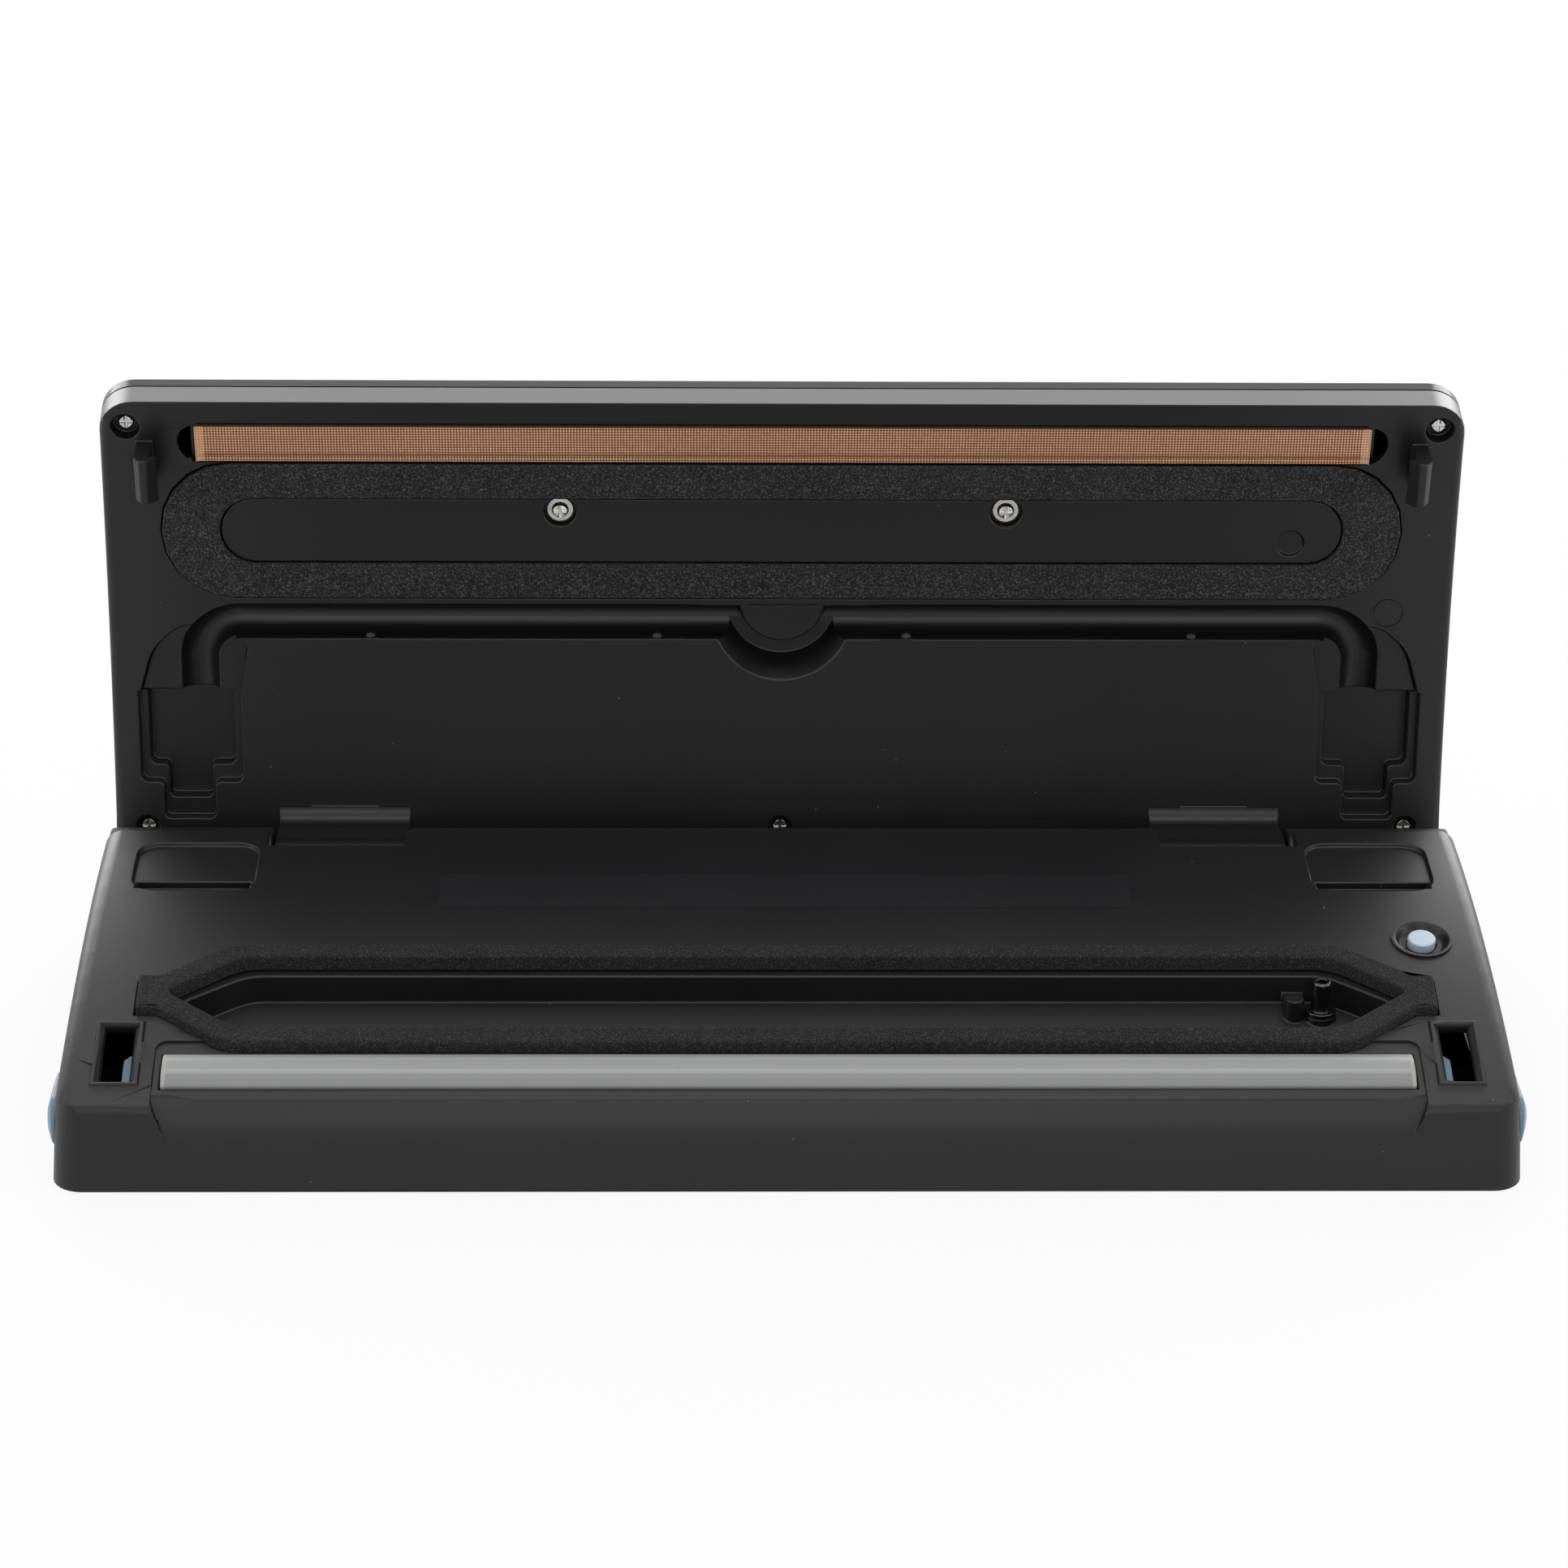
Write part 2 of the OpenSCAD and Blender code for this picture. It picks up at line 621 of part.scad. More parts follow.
module bottom_cover() color("#2a2b2c") {
  w = base_w - 2 * wall - 2 * fit - 0.6;
  d = base_d - 2 * wall - 2 * fit - 0.6;
  difference() {
    translate([0, mid_y + 0.1, foot_h]) linear_extrude(cover_t) polygon(plate_pts(w, d, corner_r - wall));
    for (p = boss_at) translate([p[0], p[1], foot_h - 0.01]) {
      cylinder(r = screw_r + bore_play, h = cover_t + 1);
      cylinder(r1 = 3 + bore_play, r2 = screw_r + bore_play, h = 1.5);
    }
    for (x = [-95, 95], i = [0 : vent_n - 1]) translate([x + (i - (vent_n - 1) / 2) * 6, mid_y + 5, 0])
      linear_extrude(10) polygon(plate_pts(2.4, 26, 1.1));
    foot_holes();
  }
  mirrored() {
    for (y = [-1, 1]) translate([slot_x - 3, slot_y + y * guide_y - 1, inside_z - 0.01])
      cube([9, 2, ring_z - fit - inside_z + 0.01]);
    translate([spring_x0 - 1.6, slot_y - 3.4, inside_z - 0.01]) cube([1.6, 6.8, release_z + 3 - inside_z]);
    translate([micro_x - 5, micro_y - 3, inside_z - 0.01]) cube([10, 6, 2.51]);
  }
  for (x = [6, board_w - 6], y = [-board_d / 2 + 5, board_d / 2 - 5]) translate([board_x + x - board_w / 2,
    board_y + y, inside_z - 0.01]) cylinder(r = 2.6, h = board_z - inside_z + 0.01);
  for (x = [-1, 1]) translate([core_x + x * (core_w / 2 + 4), core_y, inside_z - 0.01])
    cylinder(r = 3, h = core_z - inside_z + 0.01);
}

foot_r = 7;
foot_x = base_w / 2 - 25;
foot_at = [[-foot_x, front_y + 14], [foot_x, front_y + 14], [-foot_x, back_y - 14], [foot_x, back_y - 14]];

module foot_holes() for (p = foot_at) translate([p[0], p[1], foot_h - 0.5]) cylinder(r = foot_r + 0.1, h = 1.5);

module rubber_feet() color("#1d1d1e") for (p = foot_at) translate([p[0], p[1], 0]) {
  cylinder(r1 = foot_r - 0.8, r2 = foot_r, h = 0.8);
  translate([0, 0, 0.8]) cylinder(r = foot_r, h = foot_h + 0.2);
}

screw_len = 9;

module base_screws() color("#b9bcc0") for (p = boss_at) translate([p[0], p[1], foot_h]) difference() {
  union() {
    cylinder(r1 = 3, r2 = screw_r, h = 1.5);
    cylinder(r = screw_r, h = screw_len);
  }
  for (a = [0, 90]) rotate([0, 0, a]) translate([-1.7, -0.4, -0.01]) cube([3.4, 0.8, 0.9]);
}

module base_gasket() color("#242526") layer(groove_r + 0.1, deck_r + gasket_proud) difference() {
  polygon(gasket_outline());
  polygon(gasket_inner());
}

strip_ribs = 3;

module silicone_strip() color("#9fa1a0") place(strip_s, 0, entry_r) along_x(strip_len) {
  half = strip_w / 2;
  crest = strip_proud - 1.1;
  polygon(concat([[-half, -strip_sunk + 0.1], [half, -strip_sunk + 0.1], [half, 0.4], [half - 0.7, crest],
    [half * 0.45, strip_proud - 0.15], [0.8, strip_proud], [-0.8, strip_proud],
    [-half * 0.45, strip_proud - 0.15], [-half + 0.7, crest], [-half, 0.4]]));
}

barb_len = 3.6;

module vacuum_nozzle() color("#1f2021") translate([nozzle_x, nozzle_y, nozzle_floor]) {
  difference() {
    union() {
      translate([0, 0, -wall - barb_len]) cylinder(d = nozzle_d, h = wall + barb_len + nozzle_h - 0.4);
      translate([0, 0, nozzle_h - 0.4]) cylinder(d1 = nozzle_d, d2 = nozzle_d - 0.8, h = 0.4);
      translate([0, 0, 1.1]) cylinder(d = 8, h = 1.2);
    }
    translate([0, 0, -20]) cylinder(d = nozzle_bore, h = 50);
  }
}

hose_id = nozzle_d + 2 * bore_play;
hose_od = hose_id + 3;
hose_bend = 7;
hose_top = nozzle_floor - wall - 1.4;
hose_low = 9.2;
head_x = nozzle_x;
head_y = mid_y + 9;
head_z = inside_z + head_side / 2 + 1.5;
head_front = head_y - head_side / 2;

module tube(d, bore, h) difference() {
  cylinder(d = d, h = h);
  translate([0, 0, -1]) cylinder(d = bore, h = h + 2);
}

// Hose from the nozzle down and back to the pump
module vacuum_hose() color("#c9c7bd") {
  drop = hose_top - hose_low - hose_bend;
  translate([nozzle_x, nozzle_y, hose_low + hose_bend]) tube(hose_od, hose_id, drop);
  translate([nozzle_x, nozzle_y + hose_bend, hose_low + hose_bend]) rotate([90, 0, 90]) rotate([0, 0, 180])
    rotate_extrude(angle = 90) translate([hose_bend, 0]) difference() {
      circle(d = hose_od);
      circle(d = hose_id);
    }
  translate([nozzle_x, nozzle_y + hose_bend, hose_low]) rotate([-90, 0, 0])
    tube(hose_od, hose_id, head_front - 1 - nozzle_y - hose_bend);
}

module pump_head() color("#3d4043") {
  translate([head_x, head_y, head_z]) difference() {
    cube([head_side, head_side, head_side], center = true);
    for (y = [-1, 1], z = [-1, 1]) translate([0, y * (head_side / 2 - 3), z * (head_side / 2 - 3)])
      rotate([0, 90, 0]) cylinder(r = 1.2, h = head_side + 1);
  }
  translate([head_x, head_front + 0.01, hose_low]) rotate([90, 0, 0]) tube(nozzle_d, nozzle_bore, 7);
  translate([head_x, head_front + 0.01, hose_low + 8]) rotate([90, 0, 0]) tube(nozzle_d, nozzle_bore, 5);
}

motor_x1 = head_x - head_side / 2;

module pump_motor() color("#a9adb1") translate([motor_x1, head_y, head_z]) rotate([0, -90, 0]) {
  cylinder(d = motor_d, h = motor_l);
  translate([0, 0, motor_l - 0.01]) cylinder(d = 8, h = 2);
  for (y = [-1, 1]) translate([-0.4, y * 7 - 1.4, motor_l - 0.01]) cube([0.8, 2.8, 4]);
}

// Two saddles that carry the motor and the head on the bottom cover
module pump_cradle() color("#333638") {
  for (x = [6, motor_l - 10]) translate([motor_x1 - x - 4, head_y, inside_z]) difference() {
    translate([0, -motor_d / 2 - 2, 0]) cube([5, motor_d + 4, head_z - inside_z]);
    translate([-1, 0, head_z - inside_z]) rotate([0, 90, 0]) cylinder(d = motor_d + 0.2, h = 8);
  }
  translate([head_x - head_side / 2, head_y - head_side / 2, inside_z])
    cube([head_side, head_side, head_z - head_side / 2 - inside_z - 0.02]);
}

board_x = motor_x1 - motor_l - 8.3 - board_w / 2;
core_x = board_x - board_w / 2 - 17 - core_w / 2;
core_y = mid_y + 8;
core_z = inside_z + 1.5;

module transformer_core() color("#6c7074") difference() {
  union() {
    translate([core_x - core_w / 2, core_y - core_d / 2, core_z]) cube([core_w, core_d, core_h]);
    for (x = [-1, 1]) translate([core_x + x * (core_w / 2 + 3) - 5, core_y - 6, core_z]) cube([10, 12, 1.6]);
  }
  for (x = [-1, 1]) translate([core_x + x * core_w / 4 - 4, core_y - core_d, core_z + 6])
    cube([8, core_d * 2, core_h - 12]);
}

module transformer_coil() color("#b0772f") for (y = [-1, 1])
  translate([core_x, core_y + y * (core_d / 2 + 2.6), core_z + core_h / 2]) rotate([90, 0, 0])
    linear_extrude(5, center = true) difference() {
      polygon(plate_pts(core_w - 8, core_h - 6, 3));
      square([6, 4], center = true);
    }

board_y = mid_y + 10;
board_z = inside_z + 5;

module main_board() color("#2f6b3c") {
  translate([board_x - board_w / 2, board_y - board_d / 2, board_z]) cube([board_w, board_d, 1.6]);
  translate([board_x, board_y, board_z + 1.59]) {
    translate([-30, 6, 0]) cube([16, 12, 14]);
    translate([-6, 4, 0]) cube([15, 11, 12]);
    for (x = [14, 24]) translate([x, 12, 0]) cylinder(d = 8, h = 13);
    for (i = [0 : 3]) translate([-32 + i * 14, -20, 0]) cube([9, 6, 7]);
    translate([22, -14, 0]) cube([11, 11, 2]);
  }
}

module power_inlet() color("#1c1c1d") translate([-inlet_x, 0, inlet_z]) rotate([-90, 0, 0]) {
  difference() {
    union() {
      translate([0, 0, back_y - 14]) linear_extrude(14.01) inlet_outline();
      translate([0, 0, back_y]) linear_extrude(1) polygon(plate_pts(inlet_w + 4, inlet_t + 1.6, 5));
    }
    translate([0, 0, back_y - 11.5]) linear_extrude(20) inlet_outline(-0.9);
    for (x = [-1, 1]) translate([x * 4.2, 0, back_y - 20]) cylinder(r = 1.2 + bore_play, h = 12);
  }
}

module inlet_pins() color("#c9ccd0") for (x = [-1, 1]) translate([-inlet_x + x * 4.2, 0, inlet_z])
  rotate([-90, 0, 0]) translate([0, 0, back_y - 17]) {
    cylinder(r = 1.2, h = 14.4);
    translate([0, 0, 14.4]) sphere(r = 1.2);
  }

// --- latches ---

ring_z = 9;
ring_t = 3;
guide_y = slot_l / 2 + 1.7;
bar_x0 = slot_x - slot_w / 2 - 1.3;
catch_reach = slot_x - slot_w / 2 + 3.3;
catch_r0 = deck_r - 6.6;
catch_r1 = deck_r - 4.6;
flange_t = 1.4;
wall_x = base_w / 2 - side_draft * (release_z - foot_h) / (crown_h - foot_h) - wall;
// Inner face of the side wall at the top of the retaining flange
flange_x = wall_x - side_draft * (release_h / 2 + 0.8) / (crown_h - foot_h) - 2 * fit;
spring_x0 = bar_x0 + 4.2;

// The release button on the right: pad, retaining flange, frame and catch
module release_button() color("#6d8594") {
  outer = wall_x + wall + release_out;
  hull() {
    translate([flange_x - 0.5, slot_y, release_z]) rotate([90, 0, 90])
      linear_extrude(wall_x - flange_x + 0.5 + wall + release_out * 0.45)
      polygon(plate_pts(release_l, release_h, 5));
    translate([outer - 0.6, slot_y, release_z]) rotate([90, 0, 90]) linear_extrude(0.6)
      polygon(plate_pts(release_l - 6, release_h - 6, 2.8));
  }
  translate([flange_x - flange_t, slot_y, release_z]) rotate([90, 0, 90]) linear_extrude(flange_t)
    polygon(plate_pts(release_l + 2, release_h + 1.6, 4));
  for (y = [-1, 1]) translate([bar_x0, slot_y + y * guide_y - 1, ring_z])
    cube([flange_x - bar_x0 - 0.5, 2, ring_t]);
  translate([bar_x0, slot_y - guide_y - 1, ring_z]) cube([2.2, 2 * guide_y + 2, ring_t]);
  intersection() {
    translate([bar_x0, slot_y - 5, ring_z]) cube([2.2, 10, 30]);
    drum(catch_r1);
  }
  layer(catch_r0, catch_r1) polygon([[bar_x0, slot_y - 5], [catch_reach - 1.5, slot_y - 5],
    [catch_reach, slot_y - 3.5], [catch_reach, slot_y + 3.5], [catch_reach - 1.5, slot_y + 5],
    [bar_x0, slot_y + 5]]);
}

module right_release_button() release_button();

module left_release_button() mirror([1, 0, 0]) release_button();

coil_r = 2.6;
wire_r = 0.35;
coil_n = 6;

// Compression springs on their posts, drawn as wound rings joined by a seam
module latch_springs() color("#c4c7ca") mirrored() translate([spring_x0, slot_y, release_z])
  rotate([0, 90, 0]) {
    pitch = 1.2;
    for (i = [0 : coil_n - 1]) translate([0, 0, wire_r + i * pitch])
      rotate_extrude($fn = 32) translate([coil_r, 0]) circle(r = wire_r, $fn = 16);
    translate([coil_r, 0, wire_r]) cylinder(r = wire_r * 0.8, h = (coil_n - 1) * pitch, $fn = 16);
  }

micro_x = slot_x + 2;
micro_y = slot_y + guide_y + 13;

module microswitches() color("#27292b") mirrored() translate([micro_x, micro_y, inside_z + 2.5]) {
  translate([-6.4, -2.9, 0]) cube([12.8, 5.8, 6.5]);
  translate([3, -1.2, 6.49]) cube([1.6, 2.4, 0.9]);
}

button_proud = 0.7;
flange_gap = 0.25;
switch_body = 5;

module canister_button() color("#c3cfdb") place(canister_s, canister_x) {
  low = -well_depth - collar - flange_gap;
  translate([0, 0, low]) cylinder(d = canister_d, h = button_proud - 0.5 - low);
  translate([0, 0, button_proud - 0.5]) cylinder(d1 = canister_d, d2 = canister_d - 1, h = 0.5);
  translate([0, 0, low - 1]) cylinder(d = canister_d + 3, h = 1);
}

module canister_switch() color("#3b3e42") place(canister_s, canister_x) translate([0, 0, -switch_drop]) {
  translate([0, 0, -1.2]) cylinder(r = skirt_r, h = 1.2);
  translate([-5, -5, -0.01]) cube([10, 10, 4]);
  cylinder(d = 3.5, h = switch_drop - well_depth - collar - flange_gap - 1 - canister_travel - 0.2);
}

module hinge_pins() color("#bfc3c6") mirrored() translate([arm_x, hinge_y, hinge_z]) rotate([0, 90, 0])
  cylinder(d = pin_d, h = 2 * (notch_x + cheek - 0.9), center = true);

module notice_film() color("#2b2c2e") layer(deck_r + 0.02, deck_r + 0.15)
  polygon(rounded(box_pts(-film_w / 2, s_y(film_s - film_d / 2), film_w / 2, s_y(film_s + film_d / 2)), 1));

// --- lid, drawn shut and turned open ---

lid_front_y = front_y + 1;
lid_back_y = back_y;
lid_corner = 9.2;
panel_top = lid_r + panel_h;
stop_gap = 0.4;
tail_y = hinge_y - 1;

lid_front_z = arc_z(lid_front_y, lid_r);
flare_low = 10;
flare_h = 50;

// The lid's block with its leaning front and side walls, drawn in by inset
module lid_block(inset = 0) hull() for (x = [-1, 1], h = [-flare_low, flare_h], back = [0, 1])
  translate([x * (lid_x - lid_corner + h * tan(side_flare)),
             back ? lid_back_y - lid_corner : lid_front_y + lid_corner - h * tan(front_flare), lid_front_z + h])
    cylinder(r = lid_corner - inset, h = 0.01, $fn = corner_fn);

// The part of the lid's block between two arcs
module lid_shell(r0, r1, inset = 0) difference() {
  intersection() {
    lid_block(inset);
    drum(r1);
  }
  drum(r0);
}

// The thick tail behind the hinge line, cut back to clear the housing when the lid stands open
module lid_tail() difference() {
  intersection() {
    lid_block();
    translate([-base_w, tail_y, hinge_z + 5]) cube([2 * base_w, 60, 60]);
    drum(lid_r + wall);
  }
  opened(-open_angle) translate([-base_w, -200, hinge_z - 100])
    cube([2 * base_w, 200 + back_y + stop_gap, 200]);
}

module heater_slot(g = 0) on_lid(tape_s) translate([0, 0, (bar_h + g) / 2 - 1])
  cube([tape_len + 2 * fit + 2 * g, tape_w + 2 * fit + 2 * g, bar_h + 2 + g], center = true);

module heater_ends() on_lid(tape_s) translate([0, 0, -1])
  linear_extrude(3.5) polygon(plate_pts(tape_len + 9.2, tape_w + 1, (tape_w + 1) / 2 - 0.01));

function lid_gasket_pts(inset, g = 0) =
  let (y0 = s_y(lid_gasket_s0, lid_r) + inset - g, y1 = s_y(lid_gasket_s1, lid_r) - inset + g,
       x = lid_gasket_x - (inset > 0 ? 15.4 : 0) + g)
  rounded(box_pts(-x, y0, x, y1), (y1 - y0) / 2 - 0.01);

channel_r = channel_w / 2;
channel_sunk = 3;
bend_s = channel_s + bend_r;

// Round-bottomed hose channel: a straight run, two bends and two short legs
module hose_channel(g = 0) on_lid(bend_s) {
  r = channel_r + g;
  translate([0, -bend_r, channel_sunk]) rotate([0, 90, 0]) cylinder(r = r, h = 2 * bend_x, center = true);
  translate([-bend_x, -bend_r - r, -3]) cube([2 * bend_x, 2 * r, 3 + channel_sunk]);
  mirrored() translate([bend_x, 0, 0]) {
    rotate([0, 0, -90]) rotate_extrude(angle = 90) translate([bend_r, 0]) {
      translate([0, channel_sunk]) circle(r = r);
      translate([-r, -3]) square([2 * r, 3 + channel_sunk]);
    }
    translate([bend_r, 0, channel_sunk]) rotate([-90, 0, 0]) cylinder(r = r, h = 10);
    translate([bend_r - r, 0, -3]) cube([2 * r, 10, 3 + channel_sunk]);
  }
}

module finger_scoop(g = 0) on_lid(scoop_s) translate([0, 0, -2])
  cylinder(r1 = scoop_r + g + 0.8, r2 = scoop_r + g - 4.5, h = scoop_depth + 2 + g, $fn = 96);

// Straight cut above the gasket side, so that the scoop opens only away from it
module scoop_limit() translate([-40, s_y(channel_s - channel_r, lid_r), 0]) cube([80, 60, 120]);

module finger_island() intersection() {
  on_lid(scoop_s - 3.2) translate([0, 0, 0.6]) cylinder(r1 = island_r, r2 = island_r + 1.5, h = scoop_depth, $fn = 96);
  scoop_limit();
}

pocket_s0 = 86.4;
pocket_s1 = 108.1;
pocket_s2 = 112.2;
tongue_s = 122.5;
tongue_x0 = pocket_x0 + 7.7;
tongue_x1 = pocket_x1 - 6.2;

function lid_y(s) = s_y(s, lid_r);

// Outline of a connector pocket with its narrow tongue, drawn in by inset
function pocket_pts(inset, s1, s2) = rounded([[pocket_x0 + inset, lid_y(pocket_s0)],
  [pocket_x1 - inset, lid_y(pocket_s0)], [pocket_x1 - inset, lid_y(s1)], [tongue_x1 - inset / 2, lid_y(s1)],
  [tongue_x1 - inset / 2, lid_y(s2)], [tongue_x0 + inset / 2, lid_y(s2)], [tongue_x0 + inset / 2, lid_y(s1)],
  [pocket_x0 + inset, lid_y(s1)]], [0, 0, 2, 1.5, 1.5, 1.5, 1.5, 2]);

// Shallow arch between the channel's bend and the pocket
function arch_pts() = rounded([[pocket_x0, lid_y(pocket_s0 + 0.5)], [pocket_x0 - 1.2, lid_y(80)],
  [pocket_x0 - 2.5, lid_y(73)], [pocket_x0 + 7, lid_y(66.5)], [pocket_x1 - 11.8, lid_y(67.2)],
  [pocket_x1 - 4.2, lid_y(74)],
  [pocket_x1 - 0.5, lid_y(pocket_s0 + 0.5)]], [0, 4, 2, 2, 9, 14, 0]);

module lid_layer(depth0, depth1) layer(lid_r + depth0, lid_r + depth1) children();

shelf_depth = 4;

module connector_pocket(g = 0) {
  lid_layer(-6, shelf_depth + g) polygon(pocket_pts(-g, pocket_s2 + g, tongue_s + g));
  lid_layer(-6, pocket_depth + g) polygon(pocket_pts(2.2 - g, pocket_s1 + g, tongue_s - 5 + g));
  lid_layer(-6, 3.2 + g) polygon(arch_pts());
}

// Fillet between a hinge arm and the lid's face
arm_fillet = 4.2;

// One hinge arm, from the lid's face down to the rounded end round the pin
module hinge_arm() translate([arm_x, 0, 0]) difference() {
  root = arc_z(hinge_y, lid_r) - hinge_z + 1;
  along_x(arm_w) translate([hinge_y, hinge_z]) {
    circle(r = arm_r, $fn = 96);
    translate([-arm_r, 0]) square([2 * arm_r, root]);
    translate([-arm_r - arm_fillet, root - 1 - arm_fillet]) difference() {
      square([arm_fillet + 1, arm_fillet + 1]);
      circle(r = arm_fillet, $fn = 64);
    }
  }
  translate([0, hinge_y, hinge_z]) rotate([0, 90, 0]) cylinder(r = pin_d / 2 + bore_play, h = 50, center = true);
}

corner_screw_x = lid_x - 6.7;
corner_seat = 3.8;
corner_screw_s = 7.6;
centre_screw_x = 60;
centre_screw_s = 33.2;
centre_boss_h = 7;
centre_seat = 2.6;
washer_t = 0.8;
tail_seat = 3.4;
tail_screws = [[-lid_x + 7.2, 125], [0, 125], [lid_x - 8.2, 125]];

module panel_bosses() {
  mirrored() {
    on_lid(corner_screw_s, corner_screw_x) cylinder(r = 5.2, h = panel_h - 1);
    on_lid(centre_screw_s, centre_screw_x) cylinder(r = 6, h = centre_boss_h);
  }
  for (p = tail_screws) on_lid(p[1], p[0]) cylinder(r = 4, h = panel_h - 1);
}

// Room in the cover's rim for the bosses and the screws of the panel
module boss_room() {
  mirrored() on_lid(corner_screw_s, corner_screw_x) cylinder(r = 5.2 + fit, h = panel_h);
  for (p = tail_screws) on_lid(p[1], p[0]) cylinder(r = 4 + fit, h = panel_h);
}

module screw_holes() {
  mirrored() on_lid(corner_screw_s, corner_screw_x) {
    translate([0, 0, -1]) cylinder(d = 7.5, h = corner_seat + 1);
    cylinder(r = screw_r + bore_play, h = 30);
  }
  mirrored() on_lid(centre_screw_s, centre_screw_x) {
    translate([0, 0, -1]) cylinder(d = 8.6, h = centre_seat + 1);
    cylinder(r = screw_r + bore_play, h = 30);
  }
  for (p = tail_screws) on_lid(p[1], p[0]) {
    translate([0, 0, -1]) cylinder(d = 6.4, h = tail_seat + 1);
    cylinder(r = screw_r + bore_play, h = 30);
  }
}

hook_x = slot_x + 0.6;
// Distance s of the dish in the lid over the nozzle
port_s = 42.2;

// Latch hook on the right, its barb turned to the middle of the lid
module latch_hook() on_lid(hook_s, hook_x) rotate([90, 0, 0]) linear_extrude(hook_w, center = true)
  polygon([[-1.2, 1], [2.8, 1], [2.8, 2 - hook_len], [1.2, -hook_len], [-0.8, -hook_len],
           [-3.2, 2.2 - hook_len], [-3.2, 2.8 - hook_len], [-1.2, 2.8 - hook_len]]);

module lid_inner_panel() color("#232426") opened() {
  panel_shell();
  mirrored() hinge_arm();
}

// Tray of the inner panel with all its pockets
module panel_shell() difference() {
  union() {
    difference() {
      lid_shell(lid_r, panel_top);
      lid_shell(lid_r + wall, top_r, wall);
    }
    intersection() {
      lid_shell(lid_r, panel_top + 3);
      union() {
        heater_slot(wall / 2);
        lid_layer(0, lid_groove + wall) polygon(lid_gasket_pts(0, wall));
        hose_channel(wall * 0.7);
        finger_scoop(wall * 0.7);
        mirrored() {
          connector_pocket(wall * 0.7);
        }
        panel_bosses();
      }
    }
    lid_tail();
    mirrored() latch_hook();
  }
  heater_slot();
  heater_ends();
  lid_layer(-3, lid_groove) difference() {
    polygon(lid_gasket_pts(0, fit));
    polygon(lid_gasket_pts(lid_gasket_band, -fit));
  }
  difference() {
    union() {
      hose_channel();
      intersection() {
        finger_scoop();
        scoop_limit();
      }
    }
    finger_island();
    mirrored() for (x = [34, 112]) on_lid(channel_s + channel_r - 0.2, x) translate([0, 0, 1.6]) sphere(r = 1.5);
  }
  mirrored() {
    connector_pocket();
  }
  screw_holes();
  on_lid(port_s, nozzle_x) translate([0, 0, -1]) cylinder(d = 7.4, h = 2.2);
  on_lid(canister_s, canister_x) translate([0, 0, -1]) tube(8.6, 7.6, 1.3);
}

cover_low = panel_top + seam;
rim_t = 1.4;

module lid_cover() color("#1b1b1d") opened() difference() {
  union() {
    difference() {
      lid_shell(cover_low, top_r);
      lid_shell(cover_low - 1, top_r - wall + 0.2, wall);
    }
    difference() {
      lid_shell(panel_top - 2.5, top_r - 1, wall + fit);
      lid_shell(panel_top - 3, top_r, wall + fit + rim_t);
      boss_room();
    }
    cover_posts();
  }
  above(top_r - 1) control_outline(0.1);
  for (i = [-1 : 1]) layer(top_r - 8, top_r + 4) key_outline(i, fit);
  for (i = [-1 : 1]) on_top(control_s - 8.2, i * key_pitch) translate([0, 0, -6]) cylinder(r = 1.6, h = 10);
}

module control_outline(g = 0) polygon(rounded(box_pts(-control_w / 2 - g, s_y(control_s - control_d / 2, top_r) - g,
  control_w / 2 + g, s_y(control_s + control_d / 2, top_r) + g), 5));

key_s = control_s + 2.4;

module key_outline(i, g = 0) polygon(rounded(box_pts(i * key_pitch - key_w / 2 - g,
  s_y(key_s - key_d / 2, top_r) - g, i * key_pitch + key_w / 2 + g, s_y(key_s + key_d / 2, top_r) + g), 3));

ctrl_r = top_r - wall - 6.6;
ctrl_t = 1.6;

// Posts inside the cover that carry the control board and take the panel's screws
module cover_posts() for (x = [-1, 1], s = [control_s - 9, control_s + 9])
  translate([x * (control_w / 2 - 5), s_y(s, top_r), 0]) layer(ctrl_r + ctrl_t, top_r - 1) circle(r = 2.4);

module control_panel() color("#141517") opened() difference() {
  layer(top_r - 1 + 0.02, top_r + 0.15) control_outline();
  for (i = [-1 : 1]) {
    layer(top_r - 3, top_r + 4) key_outline(i, fit);
    on_top(control_s - 8.2, i * key_pitch) translate([0, 0, -6]) cylinder(r = 1.6, h = 10);
  }
}

module key(i) opened() {
  layer(top_r - wall - 1.5, top_r + 0.9) key_outline(i);
  layer(top_r - wall - 1.7, top_r - wall - 0.3) key_outline(i, 1.2);
}

module seal_key() color("#5d7482") key(-1);

module vacuum_key() color("#5d7482") key(0);

module stop_key() color("#5d7482") key(1);

module control_board() color("#2f6b3c") opened() {
  layer(ctrl_r, ctrl_r + ctrl_t - 0.02) polygon(rounded(box_pts(-control_w / 2, s_y(control_s - control_d / 2, top_r),
    control_w / 2, s_y(control_s + control_d / 2, top_r)), 2));
  for (i = [-1 : 1]) {
    layer(ctrl_r + ctrl_t - 0.5, top_r - wall - 1.7 - key_travel - 0.2)
      translate([i * key_pitch, s_y(key_s, top_r)]) square([6, 6], center = true);
    layer(ctrl_r + ctrl_t - 0.5, top_r - wall - 3.2)
      translate([i * key_pitch, s_y(control_s - 8.2, top_r)]) circle(r = 1.4);
  }
}

module indicator_lenses() color("#d9e4e8") opened() for (i = [-1 : 1])
  on_top(control_s - 8.2, i * key_pitch) translate([0, 0, -wall - 3]) {
    cylinder(r = 1.5, h = wall + 3.2);
  }

module lid_gasket() color("#2a2b2c") opened() lid_layer(-lid_gasket_proud, lid_groove - 0.1) difference() {
  polygon(lid_gasket_pts(0));
  polygon(lid_gasket_pts(lid_gasket_band));
}

